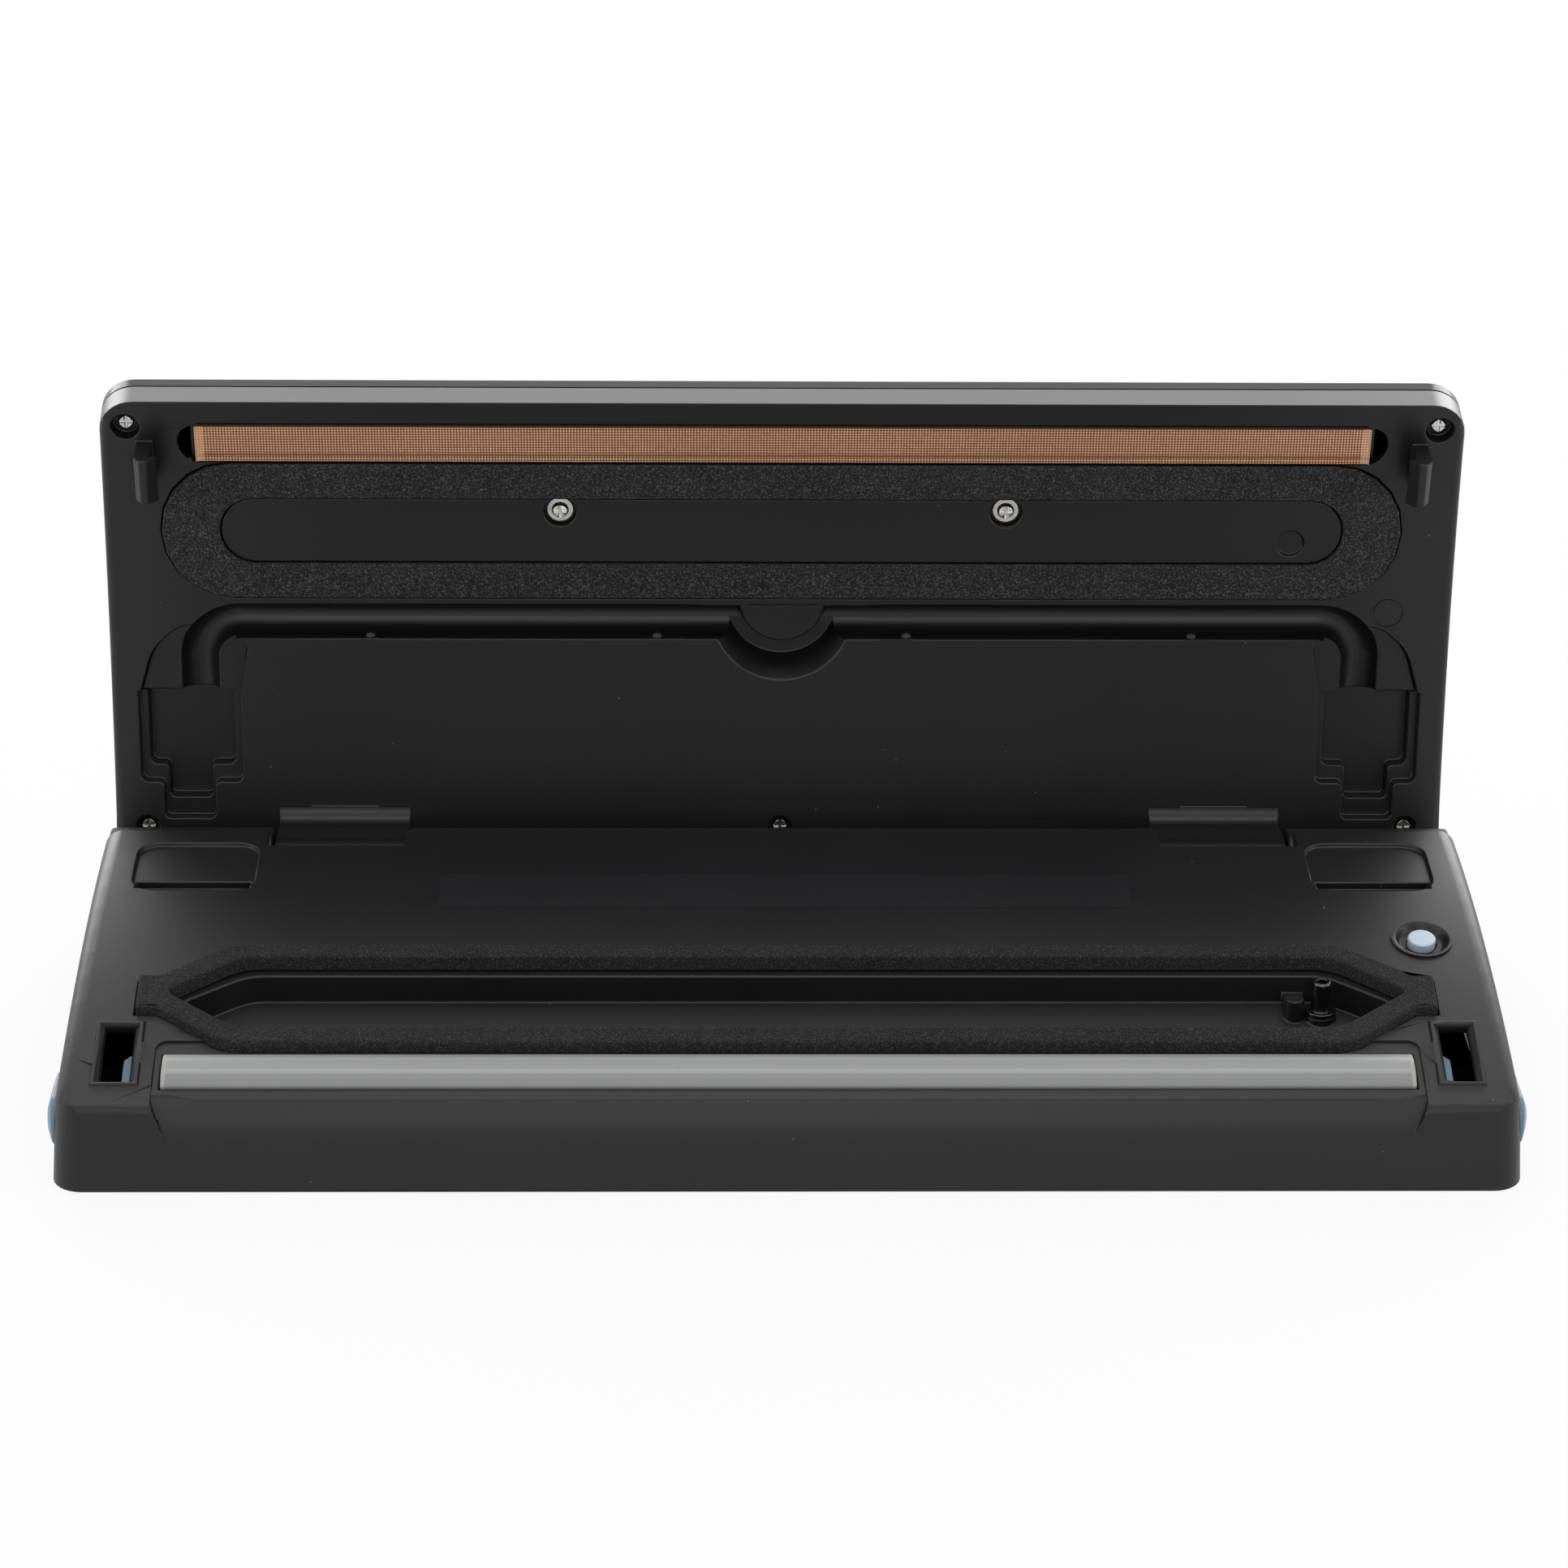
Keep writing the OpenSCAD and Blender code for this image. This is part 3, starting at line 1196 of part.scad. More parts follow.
module heater_tape() color("#a87350") opened() on_lid(tape_s) translate([0, 0, -tape_t / 2 - 0.01])
  cube([tape_len, tape_w, tape_t], center = true);

module heating_ribbon() color("#b8b2a8") opened() on_lid(tape_s) translate([0, 0, 0.14])
  cube([tape_len - 4, ribbon_w, 0.2], center = true);

module heater_bar() color("#4a3b30") opened() on_lid(tape_s) difference() {
  translate([0, 0, bar_h / 2 - 0.05]) cube([tape_len, tape_w, bar_h - 0.1], center = true);
  translate([0, 0, 0]) cube([tape_len - 3.6, ribbon_w + 0.3, 0.5], center = true);
}

module thermal_fuse() color("#d8d3c8") opened() on_lid(tape_s, 40)
  translate([0, 0, bar_h + wall / 2 + 2.05]) rotate([0, 90, 0]) cylinder(d = 4, h = 12, center = true);

module lid_screws() color("#c8cbce") opened() {
  mirrored() on_lid(corner_screw_s, corner_screw_x) lid_screw(corner_seat, 2.3, panel_h - corner_seat - 0.4);
  mirrored() on_lid(centre_screw_s, centre_screw_x) lid_screw(centre_seat - washer_t - 0.05, 2.4, centre_boss_h - 2.4);
  for (p = tail_screws) on_lid(p[1], p[0]) lid_screw(tail_seat, 2.3, panel_h - tail_seat - 0.4);
}

// Cross-head screw whose head rests on a seat at the given depth
module lid_screw(seat, head_r, len) translate([0, 0, seat]) difference() {
  union() {
    translate([0, 0, -1.3]) cylinder(r1 = head_r - 0.6, r2 = head_r, h = 1.3);
    cylinder(r = screw_r, h = len);
  }
  for (a = [0, 90]) rotate([0, 0, a]) translate([-1.8, -0.4, -1.4]) cube([3.6, 0.8, 0.9]);
}

module lid_washers() color("#c8cbce") opened() mirrored() on_lid(centre_screw_s, centre_screw_x)
  translate([0, 0, centre_seat - washer_t - 0.03]) tube(7, 2 * (screw_r + bore_play), washer_t);

base_shell();
bottom_cover();
rubber_feet();
base_screws();
base_gasket();
silicone_strip();
vacuum_nozzle();
vacuum_hose();
pump_head();
pump_motor();
pump_cradle();
transformer_core();
transformer_coil();
main_board();
power_inlet();
inlet_pins();
latch_springs();
microswitches();
canister_switch();
hinge_pins();
notice_film();
left_release_button();
right_release_button();
canister_button();
lid_inner_panel();
lid_cover();
lid_gasket();
heater_tape();
heating_ribbon();
heater_bar();
thermal_fuse();
lid_screws();
lid_washers();
control_panel();
control_board();
indicator_lenses();
seal_key();
vacuum_key();
stop_key();
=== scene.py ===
import json
import math

import bmesh
import bpy
from mathutils import Matrix, Vector, kdtree, noise
from mathutils.bvhtree import BVHTree

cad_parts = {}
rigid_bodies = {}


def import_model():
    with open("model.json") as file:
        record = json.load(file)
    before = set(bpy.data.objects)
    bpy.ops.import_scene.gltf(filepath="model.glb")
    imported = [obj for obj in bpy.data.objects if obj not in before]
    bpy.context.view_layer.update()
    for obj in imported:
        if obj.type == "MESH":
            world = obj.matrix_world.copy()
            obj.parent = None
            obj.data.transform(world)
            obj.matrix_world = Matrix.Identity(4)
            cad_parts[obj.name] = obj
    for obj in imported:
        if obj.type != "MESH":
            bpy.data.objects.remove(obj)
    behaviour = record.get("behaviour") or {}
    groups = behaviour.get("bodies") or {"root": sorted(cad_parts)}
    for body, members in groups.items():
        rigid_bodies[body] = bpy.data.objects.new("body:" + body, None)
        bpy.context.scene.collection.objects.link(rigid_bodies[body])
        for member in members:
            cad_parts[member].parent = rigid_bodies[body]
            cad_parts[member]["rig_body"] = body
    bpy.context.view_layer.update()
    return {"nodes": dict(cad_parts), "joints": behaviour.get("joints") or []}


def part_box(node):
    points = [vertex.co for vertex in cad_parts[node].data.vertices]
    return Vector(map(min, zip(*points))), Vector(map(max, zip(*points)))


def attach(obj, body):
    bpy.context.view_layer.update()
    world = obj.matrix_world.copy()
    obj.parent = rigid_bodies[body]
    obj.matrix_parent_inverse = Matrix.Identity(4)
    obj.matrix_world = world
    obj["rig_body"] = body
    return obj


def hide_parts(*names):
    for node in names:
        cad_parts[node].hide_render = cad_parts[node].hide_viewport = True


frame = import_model()

bl_info = {
    "name": "Vacuum sealer",
    "version": (1, 0, 0),
    "blender": (4, 5, 0),
    "location": "View3D > Sidebar > Vacuum sealer",
    "description": "Finishes a countertop vacuum sealer with an open lid",
    "category": "Object",
}

MM = 0.001
HINGE = Vector(next(joint["pos_m"] for joint in frame["joints"] if joint["name"] == "lid_hinge"))
OPEN_ANGLE = math.radians(99.1)
ARC_Y, ARC_Z = 28.594 * MM, -264.8 * MM
DECK_R, LID_R, TOP_R = 309.0 * MM, 310.5 * MM, 330.0 * MM

# The base's side walls lean in as they rise from their foot.
BASE_HALF, BASE_FOOT = 185.0 * MM, 0.4 * MM
SIDE_LEAN = 2.8 / 43.8
BASE_TOP_LEAST, BASE_FRONT_TOP = 20.0 * MM, -77.0 * MM

# The shut lid's outline at the height LID_LEVEL, and how its walls flare as they rise.
LID_LEVEL, LID_CORNER = 20.0 * MM, 9.2 * MM
LID_HALF, LID_FRONT, LID_BACK = 181.6 * MM, -84.306 * MM, 52.694 * MM
SIDE_FLARE, FRONT_FLARE = math.tan(math.radians(4.0)), math.tan(math.radians(8.4))
RIM_REACH = 0.15 * MM

# Merging of the CAD triangles, and what counts as a crease or a fault in a rounding.
MERGE, SLIVER, FLAT_ANGLE = 0.004 * MM, 0.002 * MM, 0.5
CREASE_ANGLE, SMOOTH_ANGLE, CLOTH_SMOOTH = 32.0, 50.0, 40.0
STRAY, FOLDED, MIN_FOLD = 0.45, -0.1, 0.2

# How a rounding is tried again, cut into runs and cleared of the edges near a fault.
BEVEL_TRIES = 7
CLEAR_OF_FOLD = 1.2
LARGE_RUN, SMALL_RUN = 6, 24

# The base's shoulders and the even shading of curved faces.
CUT = 0.001 * MM
DECK_SKIN = 0.8 * MM
CURVED_ANGLE, NORMAL_SHARE = 2.0, 1.5

# The heater cloth: its thickness, how much narrower it is than its CAD tape's box is across, and its grid.
CLOTH_THICK, CLOTH_SPARE = 0.12 * MM, 0.3 * MM
CLOTH_CELLS = (470, 26)

# Colours that stay as they are, and the stage.
RUST, PAD, DUST = (0.13, 0.08, 0.05), (0.55, 0.53, 0.47), (0.30, 0.30, 0.29)
SEEN_RAYS = ("Is Camera Ray", "Is Glossy Ray", "Is Transmission Ray")
LENS, SENSOR, CLIP_END = 104.35, 36.0, 20.0
FLOOR_HALF, FLOOR_GLOW = 6.0, 0.88
CAMERA_PLACE = (-0.02758, -1.07451, 0.57460)
CAMERA_ANGLES = (25.0, -1.44, 0.67)


# --- sizes and colours ---

def colour(name, description, default):
    return bpy.props.FloatVectorProperty(
        name=name, description=description, default=default, size=3, min=0.0, max=1.0, subtype="COLOR")


def length(name, description, default):
    return bpy.props.FloatProperty(
        name=name, description=description, default=default, min=0.0, unit="LENGTH", subtype="DISTANCE")


def factor(name, description, default):
    return bpy.props.FloatProperty(
        name=name, description=description, default=default, min=0.0, max=1.0, subtype="FACTOR")


def power(name, description, default):
    return bpy.props.FloatProperty(name=name, description=description, default=default, min=0.0, unit="POWER")


class SealerPlastics(bpy.types.PropertyGroup):
    housing: colour("Housing", "Charcoal plastic of the base", (0.0068, 0.0070, 0.0076))
    panel: colour("Lid panel", "Satin black plastic of the lid's inner side", (0.0052, 0.0053, 0.0057))
    cover: colour("Lid cover", "Glossy black plastic of the lid's outer side", (0.006, 0.006, 0.0065))
    release: colour("Release buttons", "Blue-grey plastic", (0.15, 0.245, 0.315))
    canister: colour("Canister button", "Pale blue plastic", (0.54, 0.64, 0.74))
    film: colour("Deck film", "Dark film on the deck", (0.011, 0.0115, 0.013))
    housing_roughness: factor("Housing roughness", "How matt the base is", 0.41)
    panel_roughness: factor("Panel roughness", "How matt the lid's inner side is", 0.38)
    cover_roughness: factor("Cover roughness", "How matt the lid's outer side is", 0.22)
    edge: length("Edge radius", "Rounding of the moulded edges", 0.45 * MM)
    shoulder: length("Shoulder radius", "Rounding of the base along its sides", 4.6 * MM)
    face_rim: length("Face rim radius", "Rounding round the lid's inner face", 2.0 * MM)
    cover_rim: length("Cover rim radius", "Rounding round the lid's cover", 2.5 * MM)
    grain: length("Grain", "Size of the moulded grain", 0.35 * MM)


class SealerSoftParts(bpy.types.PropertyGroup):
    foam: colour("Foam", "Black foam of the gaskets", (0.0105, 0.0108, 0.0118))
    foam_fleck: colour("Foam flecks", "Lighter cell walls of the foam", (0.125, 0.127, 0.133))
    silicone: colour("Silicone", "Grey of the sealing strip", (0.325, 0.328, 0.33))
    silicone_end: colour("Strip ends", "Cream ends of the sealing strip", (0.40, 0.385, 0.35))
    tape: colour("Heater tape", "Coated glass-fibre cloth", (0.36, 0.145, 0.069))
    tape_thread: colour("Tape threads", "Lighter crossings of the cloth", (0.78, 0.45, 0.27))
    rubber: colour("Rubber", "Feet", (0.014, 0.014, 0.015))
    thread: length("Thread", "Distance between the threads of the cloth", 1.1 * MM)
    cell: length("Cell", "Size of the foam's cells", 0.48 * MM)
    foam_edge: length("Foam edge", "Rounding of the foam's edges", 0.7 * MM)


class SealerMetals(bpy.types.PropertyGroup):
    nickel: colour("Nickel", "Plated screws and washers", (0.64, 0.625, 0.6))
    steel: colour("Steel", "Pins, springs and laminations", (0.42, 0.42, 0.43))
    copper: colour("Copper", "Enamelled windings", (0.46, 0.17, 0.07))
    board: colour("Board", "Solder mask of the boards", (0.02, 0.12, 0.045))


class SealerStage(bpy.types.PropertyGroup):
    floor: colour("Floor", "Paper under the machine", (0.86, 0.86, 0.86))
    key: power("Key lamp", "Power of the lamp above", 8.5)
    fill: power("Fill lamp", "Power of the lamp in front", 6.0)
    back: power("Back lamp", "Power of the lamp behind", 20.0)
    rim: power("Rim lamp", "Power of each lamp behind the sides", 9.0)
    side: power("Side lamp", "Power of each lamp beside the machine", 4.0)
    sky: factor("Sky", "Light from all round", 0.26)


def plastics():
    return bpy.context.scene.sealer_plastics


def soft_parts():
    return bpy.context.scene.sealer_soft_parts


def metals():
    return bpy.context.scene.sealer_metals


def stage_settings():
    return bpy.context.scene.sealer_stage


# --- finishes ---

class Value:
    """An output socket with the operators that the finishes use."""

    def __init__(self, finish, socket):
        self.finish, self.socket = finish, socket

    def maths(self, operation, *terms):
        return self.finish.node("Math", {"operation": operation}, dict(enumerate(terms)))

    def __add__(self, other):
        return self.maths("ADD", self, other)

    def __sub__(self, other):
        return self.maths("SUBTRACT", self, other)

    def __rsub__(self, other):
        return self.maths("SUBTRACT", other, self)

    def __mul__(self, other):
        return self.maths("MULTIPLY", self, other)

    def __gt__(self, other):
        return self.maths("GREATER_THAN", self, other)

    def __lt__(self, other):
        return self.maths("LESS_THAN", self, other)

    def __abs__(self):
        return self.maths("ABSOLUTE", self)

    __radd__ = __add__
    __rmul__ = __mul__


class Finish:
    """A material whose nodes are made by one method."""

    def __init__(self, name, **uniform):
        self.material = bpy.data.materials.new(name)
        self.material.use_nodes = True
        self.tree = self.material.node_tree
        self.shader = self.tree.nodes["Principled BSDF"]
        for socket, value in uniform.items():
            self.set(socket.replace("_", " "), value)

    def fill(self, socket, value):
        """Links a value to a socket, or writes a plain one on it."""
        if isinstance(value, Value):
            self.tree.links.new(value.socket, socket)
        elif hasattr(value, "__len__") and len(value) == 3 and socket.type == "RGBA":
            socket.default_value = (*value, 1.0)
        else:
            socket.default_value = value

    def set(self, socket, value):
        self.fill(self.shader.inputs[socket], value)

    def node(self, kind, settings=None, inputs=None, output=0):
        made = self.tree.nodes.new("ShaderNode" + kind)
        for name, value in (settings or {}).items():
            setattr(made, name, value)
        for name, value in (inputs or {}).items():
            self.fill(made.inputs[name], value)
        return Value(self, made.outputs[output])

    def place(self):
        return self.node("TexCoord", output="Object")

    def turned(self, place, scale=(1, 1, 1), turn=(0, 0, 0)):
        return self.node("Mapping", None, {"Vector": place, "Scale": scale, "Rotation": turn})

    def cloud(self, place, size, detail=2.0, rough=0.5):
        return self.node("TexNoise", None, {"Vector": place, "Scale": 1 / size, "Detail": detail,
                                            "Roughness": rough})

    def cells(self, place, size):
        return self.node("TexVoronoi", None, {"Vector": place, "Scale": 1 / size})

    def band(self, value, low, high):
        return self.node("MapRange", {"interpolation_type": "SMOOTHSTEP"},
                         {"Value": value, "From Min": low, "From Max": high})

    def shade(self, amount, first, second):
        return self.node("Mix", {"data_type": "RGBA"}, {0: amount, 6: first, 7: second}, 2)

    def along(self, place, direction):
        return self.node("VectorMath", {"operation": "DOT_PRODUCT"}, {0: place, 1: tuple(direction)}, 1)

    def relief(self, height, depth):
        return self.node("Bump", None, {"Height": height, "Distance": depth, "Strength": 1.0})


def scaled(tint, amount):
    return tuple(min(1.0, channel * amount) for channel in tint)


def moulded(name, tint, roughness, grain=None, depth=0.012 * MM, specular=0.5, dust=0.0, scuff=0.0, **uniform):
    """Injection-moulded plastic: fine grain, cloudy gloss, and a little dust and fine scratches."""
    tint = tuple(tint)
    grain = grain or plastics().grain
    finish = Finish(name, Specular_IOR_Level=specular, **uniform)
    place = finish.place()
    broad = finish.cloud(place, 60 * MM, 3.0)
    fine = finish.cloud(place, grain, 2.0)
    colour_now = finish.shade(finish.band(broad, 0.3, 0.7), scaled(tint, 0.92), scaled(tint, 1.10))
    colour_now = finish.shade(finish.band(fine, 0.55, 0.8) * 0.25, colour_now, scaled(tint, 1.5))
    gloss = broad * 0.08 + fine * 0.10 + (roughness - 0.09)
    if dust:
        speck = (finish.cells(place, 9 * MM) < 0.026) * (finish.cloud(place, 30 * MM) > 0.47)
        lint = (finish.cells(finish.turned(place, (1, 0.22, 1), turn=(0.3, 0.2, 0.7)), 14 * MM) < 0.016)
        marks = speck.maths("MAXIMUM", speck, lint) * dust
        colour_now = finish.shade(marks, colour_now, DUST)
        gloss = gloss + marks * 0.3
    if scuff:
        lines = finish.cloud(finish.turned(place, (1, 18, 18), turn=(0.2, 0.5, 0.9)), 9 * MM, 1.0)
        lines = finish.band(lines, 0.72, 0.78) * scuff
        colour_now = finish.shade(lines * 0.35, colour_now, scaled(tint, 3.0))
        gloss = gloss - lines * 0.1
    finish.set("Base Color", colour_now)
    finish.set("Roughness", gloss)
    finish.set("Normal", finish.relief(fine, depth))
    return finish.material


def gloss_cover(tint, roughness):
    """Black plastic, polished on the lid's outer face and plainer on its rim."""
    finish = Finish("gloss_black_plastic", Specular_IOR_Level=0.05, Coat_Roughness=0.06)
    place = finish.place()
    centre = HINGE + Matrix.Rotation(-OPEN_ANGLE, 3, "X") @ (Vector((0, ARC_Y, ARC_Z)) - HINGE)
    from_line = finish.node("VectorMath", {"operation": "SUBTRACT"}, {0: place, 1: tuple(centre)})
    from_line = finish.node("VectorMath", {"operation": "MULTIPLY"}, {0: from_line, 1: (0, 1, 1)})
    radius = finish.node("VectorMath", {"operation": "LENGTH"}, {0: from_line}, 1)
    cloud = finish.cloud(place, 50 * MM, 3.0)
    speck = (finish.cells(place, 11 * MM) < 0.02) * 0.5
    finish.set("Base Color", finish.shade(speck, finish.shade(cloud, scaled(tint, 0.9), scaled(tint, 1.1)),
                                          (0.2, 0.2, 0.19)))
    finish.set("Coat Weight", finish.band(radius, TOP_R - 1.6 * MM, TOP_R - 0.4 * MM) * 0.75)
    finish.set("Roughness", cloud * 0.10 + speck * 0.3 + (roughness - 0.05))
    finish.set("Normal", finish.relief(cloud, 0.01 * MM))
    return finish.material


def foam_finish(name, fleck_strength):
    """Black foam with a fine even speckle of open cells."""
    soft = soft_parts()
    finish = Finish(name, Specular_IOR_Level=0.2)
    place = finish.place()
    cell = finish.cells(place, soft.cell)
    fleck = finish.cloud(place, soft.cell, 4.0, 0.8)
    patch = finish.cloud(place, 22 * MM, 2.0)
    flecks = finish.band(fleck, 0.50, 0.64) * fleck_strength
    tint = finish.shade(flecks, scaled(soft.foam, 0.6), tuple(soft.foam_fleck))
    tint = finish.shade(finish.band(cell, 0.30, 0.05) * 0.7, tint, scaled(soft.foam, 0.3))
    tint = finish.shade(patch * 0.2, tint, scaled(soft.foam_fleck, 0.7))
    finish.set("Base Color", tint)
    finish.set("Roughness", fleck * 0.15 + 0.80)
    finish.set("Normal", finish.relief(fleck + cell * 0.6, 0.10 * MM))
    return finish.material


def silicone_finish(end_x, middle, across):
    """Grey silicone with two painted highlight runs along the strip, painted shade along its front edge, and
    cream where the strip is cut at its ends.
    """
    soft = soft_parts()
    finish = Finish("grey_silicone", Specular_IOR_Level=0.5, Subsurface_Weight=0.08,
                    Subsurface_Radius=(0.002, 0.002, 0.002))
    place = finish.place()
    spread = finish.node("SeparateXYZ", None, {0: place})
    cloud = finish.cloud(finish.turned(place, (0.15, 1, 1)), 9 * MM, 3.0)
    tint = finish.shade(cloud, scaled(soft.silicone, 0.93), scaled(soft.silicone, 1.07))
    wear = finish.cloud(finish.turned(place, (0.25, 1, 1)), 5 * MM, 4.0, 0.7)
    tint = finish.shade(finish.band(wear, 0.66, 0.76) * 0.5, tint, scaled(soft.silicone, 0.78))
    depth = finish.along(place, across) - middle.dot(across)
    # Painted highlight: a paler run stands in for light caught on the strip's crown.
    painted_upper_highlight = finish.band(abs(depth - 1.7 * MM), 0.9 * MM, 0.3 * MM)
    tint = finish.shade(painted_upper_highlight * 0.8, tint, scaled(soft.silicone, 1.38))
    # Painted highlight: a thin paler run stands in for light caught on a low ridge of the strip.
    painted_lower_highlight = finish.band(abs(depth + 2.3 * MM), 0.6 * MM, 0.2 * MM)
    tint = finish.shade(painted_lower_highlight * 0.6, tint, scaled(soft.silicone, 1.22))
    # Painted shade: the strip's front edge is darkened where it turns down, away from the light.
    tint = finish.shade(finish.band(depth, -2.9 * MM, -3.6 * MM) * 0.8, tint, scaled(soft.silicone, 0.7))
    tint = finish.shade(finish.band(abs(spread), end_x - 0.4 * MM, end_x), tint, tuple(soft.silicone_end))
    finish.set("Base Color", tint)
    finish.set("Roughness", cloud * 0.16 + 0.30)
    finish.set("Normal", finish.relief(finish.cloud(place, 0.8 * MM, 2.0), 0.006 * MM))
    return finish.material


def cloth_finish(across, along_cloth, low, high):
    """Coated glass-fibre cloth laid on the bias: pale crossings, painted shade along the crease and lighter
    turned-in ends.
    """
    soft = soft_parts()
    finish = Finish("coated_glass_cloth", Specular_IOR_Level=0.3)
    place = finish.place()
    turn = 2 * math.pi / soft.thread
    first = finish.along(place, (Vector(along_cloth) + across).normalized() * turn)
    second = finish.along(place, (Vector(along_cloth) - across).normalized() * turn)
    first = first.maths("SINE", first)
    second = second.maths("SINE", second)
    over = first * second
    height = finish.along(place, across) - (low + high).dot(across) / 2
    mottle = finish.cloud(place, 1.1 * MM, 3.0, 0.6)
    broad = finish.cloud(finish.turned(place, (0.2, 1, 1)), 16 * MM, 3.0)
    end = abs(finish.along(place, along_cloth)) - (high.x - 2.6 * MM)
    tint = finish.shade(finish.band(over, -0.3, 0.7), scaled(soft.tape, 0.5), scaled(soft.tape_thread, 1.2))
    tint = finish.shade(finish.band(mottle, 0.45, 0.75) * 0.35, tint, scaled(soft.tape, 0.62))
    tint = finish.shade(finish.band(broad, 0.35, 0.75) * 0.25, tint, scaled(soft.tape, 0.72))
    # Painted shade: the cloth is darkened along the groove pressed into it.
    crease = finish.band(abs(height + 3.2 * MM), 0.7 * MM, 0.15 * MM)
    tint = finish.shade(crease * 0.75, tint, scaled(soft.tape, 0.45))
    tint = finish.shade(finish.band(end, 0.0, 0.5 * MM) * 0.5, tint, scaled(soft.tape_thread, 1.1))
    finish.set("Base Color", tint)
    finish.set("Roughness", over * 0.06 + mottle * 0.2 + 0.40)
    finish.set("Normal", finish.relief(over * 0.5 + mottle * 0.3, 0.05 * MM))
    return finish.material


def plated(name, tint, roughness, brushed=0.0):
    """Plated or bare metal with fine tooling marks and faint tarnish."""
    tint = tuple(tint)
    finish = Finish(name, Metallic=1.0)
    place = finish.place()
    marks = finish.cloud(finish.turned(place, (1, 6, 1) if brushed else (1, 1, 1)), 0.5 * MM, 2.0)
    stain = finish.cloud(place, 7 * MM, 4.0, 0.6)
    finish.set("Base Color", finish.shade(finish.band(stain, 0.4, 0.75), tint, scaled(tint, 0.72)))
    finish.set("Roughness", marks * 0.16 + stain * 0.12 + (roughness - 0.14))
    finish.set("Normal", finish.relief(marks, 0.008 * MM + brushed * 0.01 * MM))
    return finish.material


def laminated():
    """Stacked steel sheets seen on their edges."""
    tint = tuple(metals().steel)
    finish = Finish("stacked_laminations", Metallic=0.9)
    place = finish.place()
    sheet = finish.along(place, (0, 0, 2 * math.pi / (0.5 * MM)))
    sheet = sheet.maths("SINE", sheet)
    rust = finish.cloud(place, 6 * MM, 4.0, 0.6)
    rusty = finish.band(rust, 0.5, 0.75) * 0.6
    finish.set("Base Color", finish.shade(rusty, scaled(tint, 0.6), RUST))
    finish.set("Roughness", rust * 0.2 + 0.38)
    finish.set("Normal", finish.relief(sheet, 0.03 * MM))
    return finish.material


def winding():
    """Turns of enamelled wire."""
    tint = tuple(metals().copper)
    finish = Finish("enamelled_winding", Metallic=0.85, Coat_Roughness=0.2, Coat_Weight=0.6)
    place = finish.place()
    turns = finish.along(place, (0, 2 * math.pi / (0.55 * MM), 0))
    turns = turns.maths("SINE", turns)
    cloud = finish.cloud(place, 5 * MM, 2.0)
    finish.set("Base Color", finish.shade(finish.band(turns, -1.0, 0.6), scaled(tint, 0.45), tint))
    finish.set("Roughness", cloud * 0.15 + 0.24)
    finish.set("Normal", finish.relief(turns, 0.06 * MM))
    return finish.material


def circuit_board():
    """Solder mask over copper tracks."""
    tint = tuple(metals().board)
    finish = Finish("circuit_board", Coat_Weight=0.3, Coat_Roughness=0.25)
    place = finish.place()
    tracks = finish.node("TexBrick", None, {"Vector": finish.turned(place, (60, 60, 60)), "Scale": 5.0,
                                            "Mortar Size": 0.05, "Color1": (0, 0, 0), "Color2": (0, 0, 0),
                                            "Mortar": (1, 1, 1)}, 1)
    pads = finish.cells(place, 5 * MM) < 0.14
    cloud = finish.cloud(place, 12 * MM)
    look = finish.shade(tracks * 0.8, scaled(tint, 0.8), scaled(tint, 1.7))
    look = finish.shade(pads * 0.85, look, PAD)
    finish.set("Base Color", look)
    finish.set("Roughness", cloud * 0.2 + 0.30)
    finish.set("Normal", finish.relief(tracks + pads, 0.03 * MM))
    return finish.material


def translucent(name, tint, roughness, depth):
    """Milky silicone or a cloudy light pipe."""
    tint = tuple(tint)
    finish = Finish(name, Specular_IOR_Level=0.5, Subsurface_Weight=0.3,
                    Subsurface_Radius=(depth, depth, depth))
    place = finish.place()
    cloud = finish.cloud(place, 6 * MM, 3.0)
    finish.set("Base Color", finish.shade(cloud, scaled(tint, 0.9), scaled(tint, 1.08)))
    finish.set("Roughness", cloud * 0.12 + roughness)
    finish.set("Normal", finish.relief(finish.cloud(place, 1.5 * MM), 0.01 * MM))
    return finish.material


# --- pieces ---

def body_of(node):
    return frame["nodes"][node]["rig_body"]


def dress(node, material):
    """Gives a CAD node its finish and leaves its shape."""
    shape = frame["nodes"][node]
    if not shape.material_slots:
        shape.data.materials.append(material)
    for holder in shape.material_slots:
        holder.material = material


def new_piece(name, shape, material, node, smooth):
    """Makes an object of a finished bmesh, riding on the body of the CAD node that it replaces."""
    mesh = bpy.data.meshes.new(name)
    shape.to_mesh(mesh)
    shape.free()
    mesh.materials.append(material)
    piece = bpy.data.objects.new(name, mesh)
    bpy.context.scene.collection.objects.link(piece)
    mesh.shade_smooth()
    mesh.set_sharp_from_angle(angle=math.radians(smooth))
    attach(piece, body_of(node))
    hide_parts(node)
    return piece


def merged_copy(node):
    """A bmesh of a CAD node with its triangles joined and its flat faces made whole."""
    shape = bmesh.new()
    shape.from_mesh(frame["nodes"][node].data)
    bmesh.ops.remove_doubles(shape, verts=shape.verts, dist=MERGE)
    bmesh.ops.dissolve_degenerate(shape, dist=SLIVER, edges=shape.edges)
    bmesh.ops.dissolve_limit(shape, angle_limit=math.radians(FLAT_ANGLE), verts=shape.verts, edges=shape.edges,
                             delimit={"NORMAL"})
    return shape


def arc_radius(place):
    """How far a point lies from the line about which the deck and the shut lid are curved."""
    return math.hypot(place.y - ARC_Y, place.z - ARC_Z)


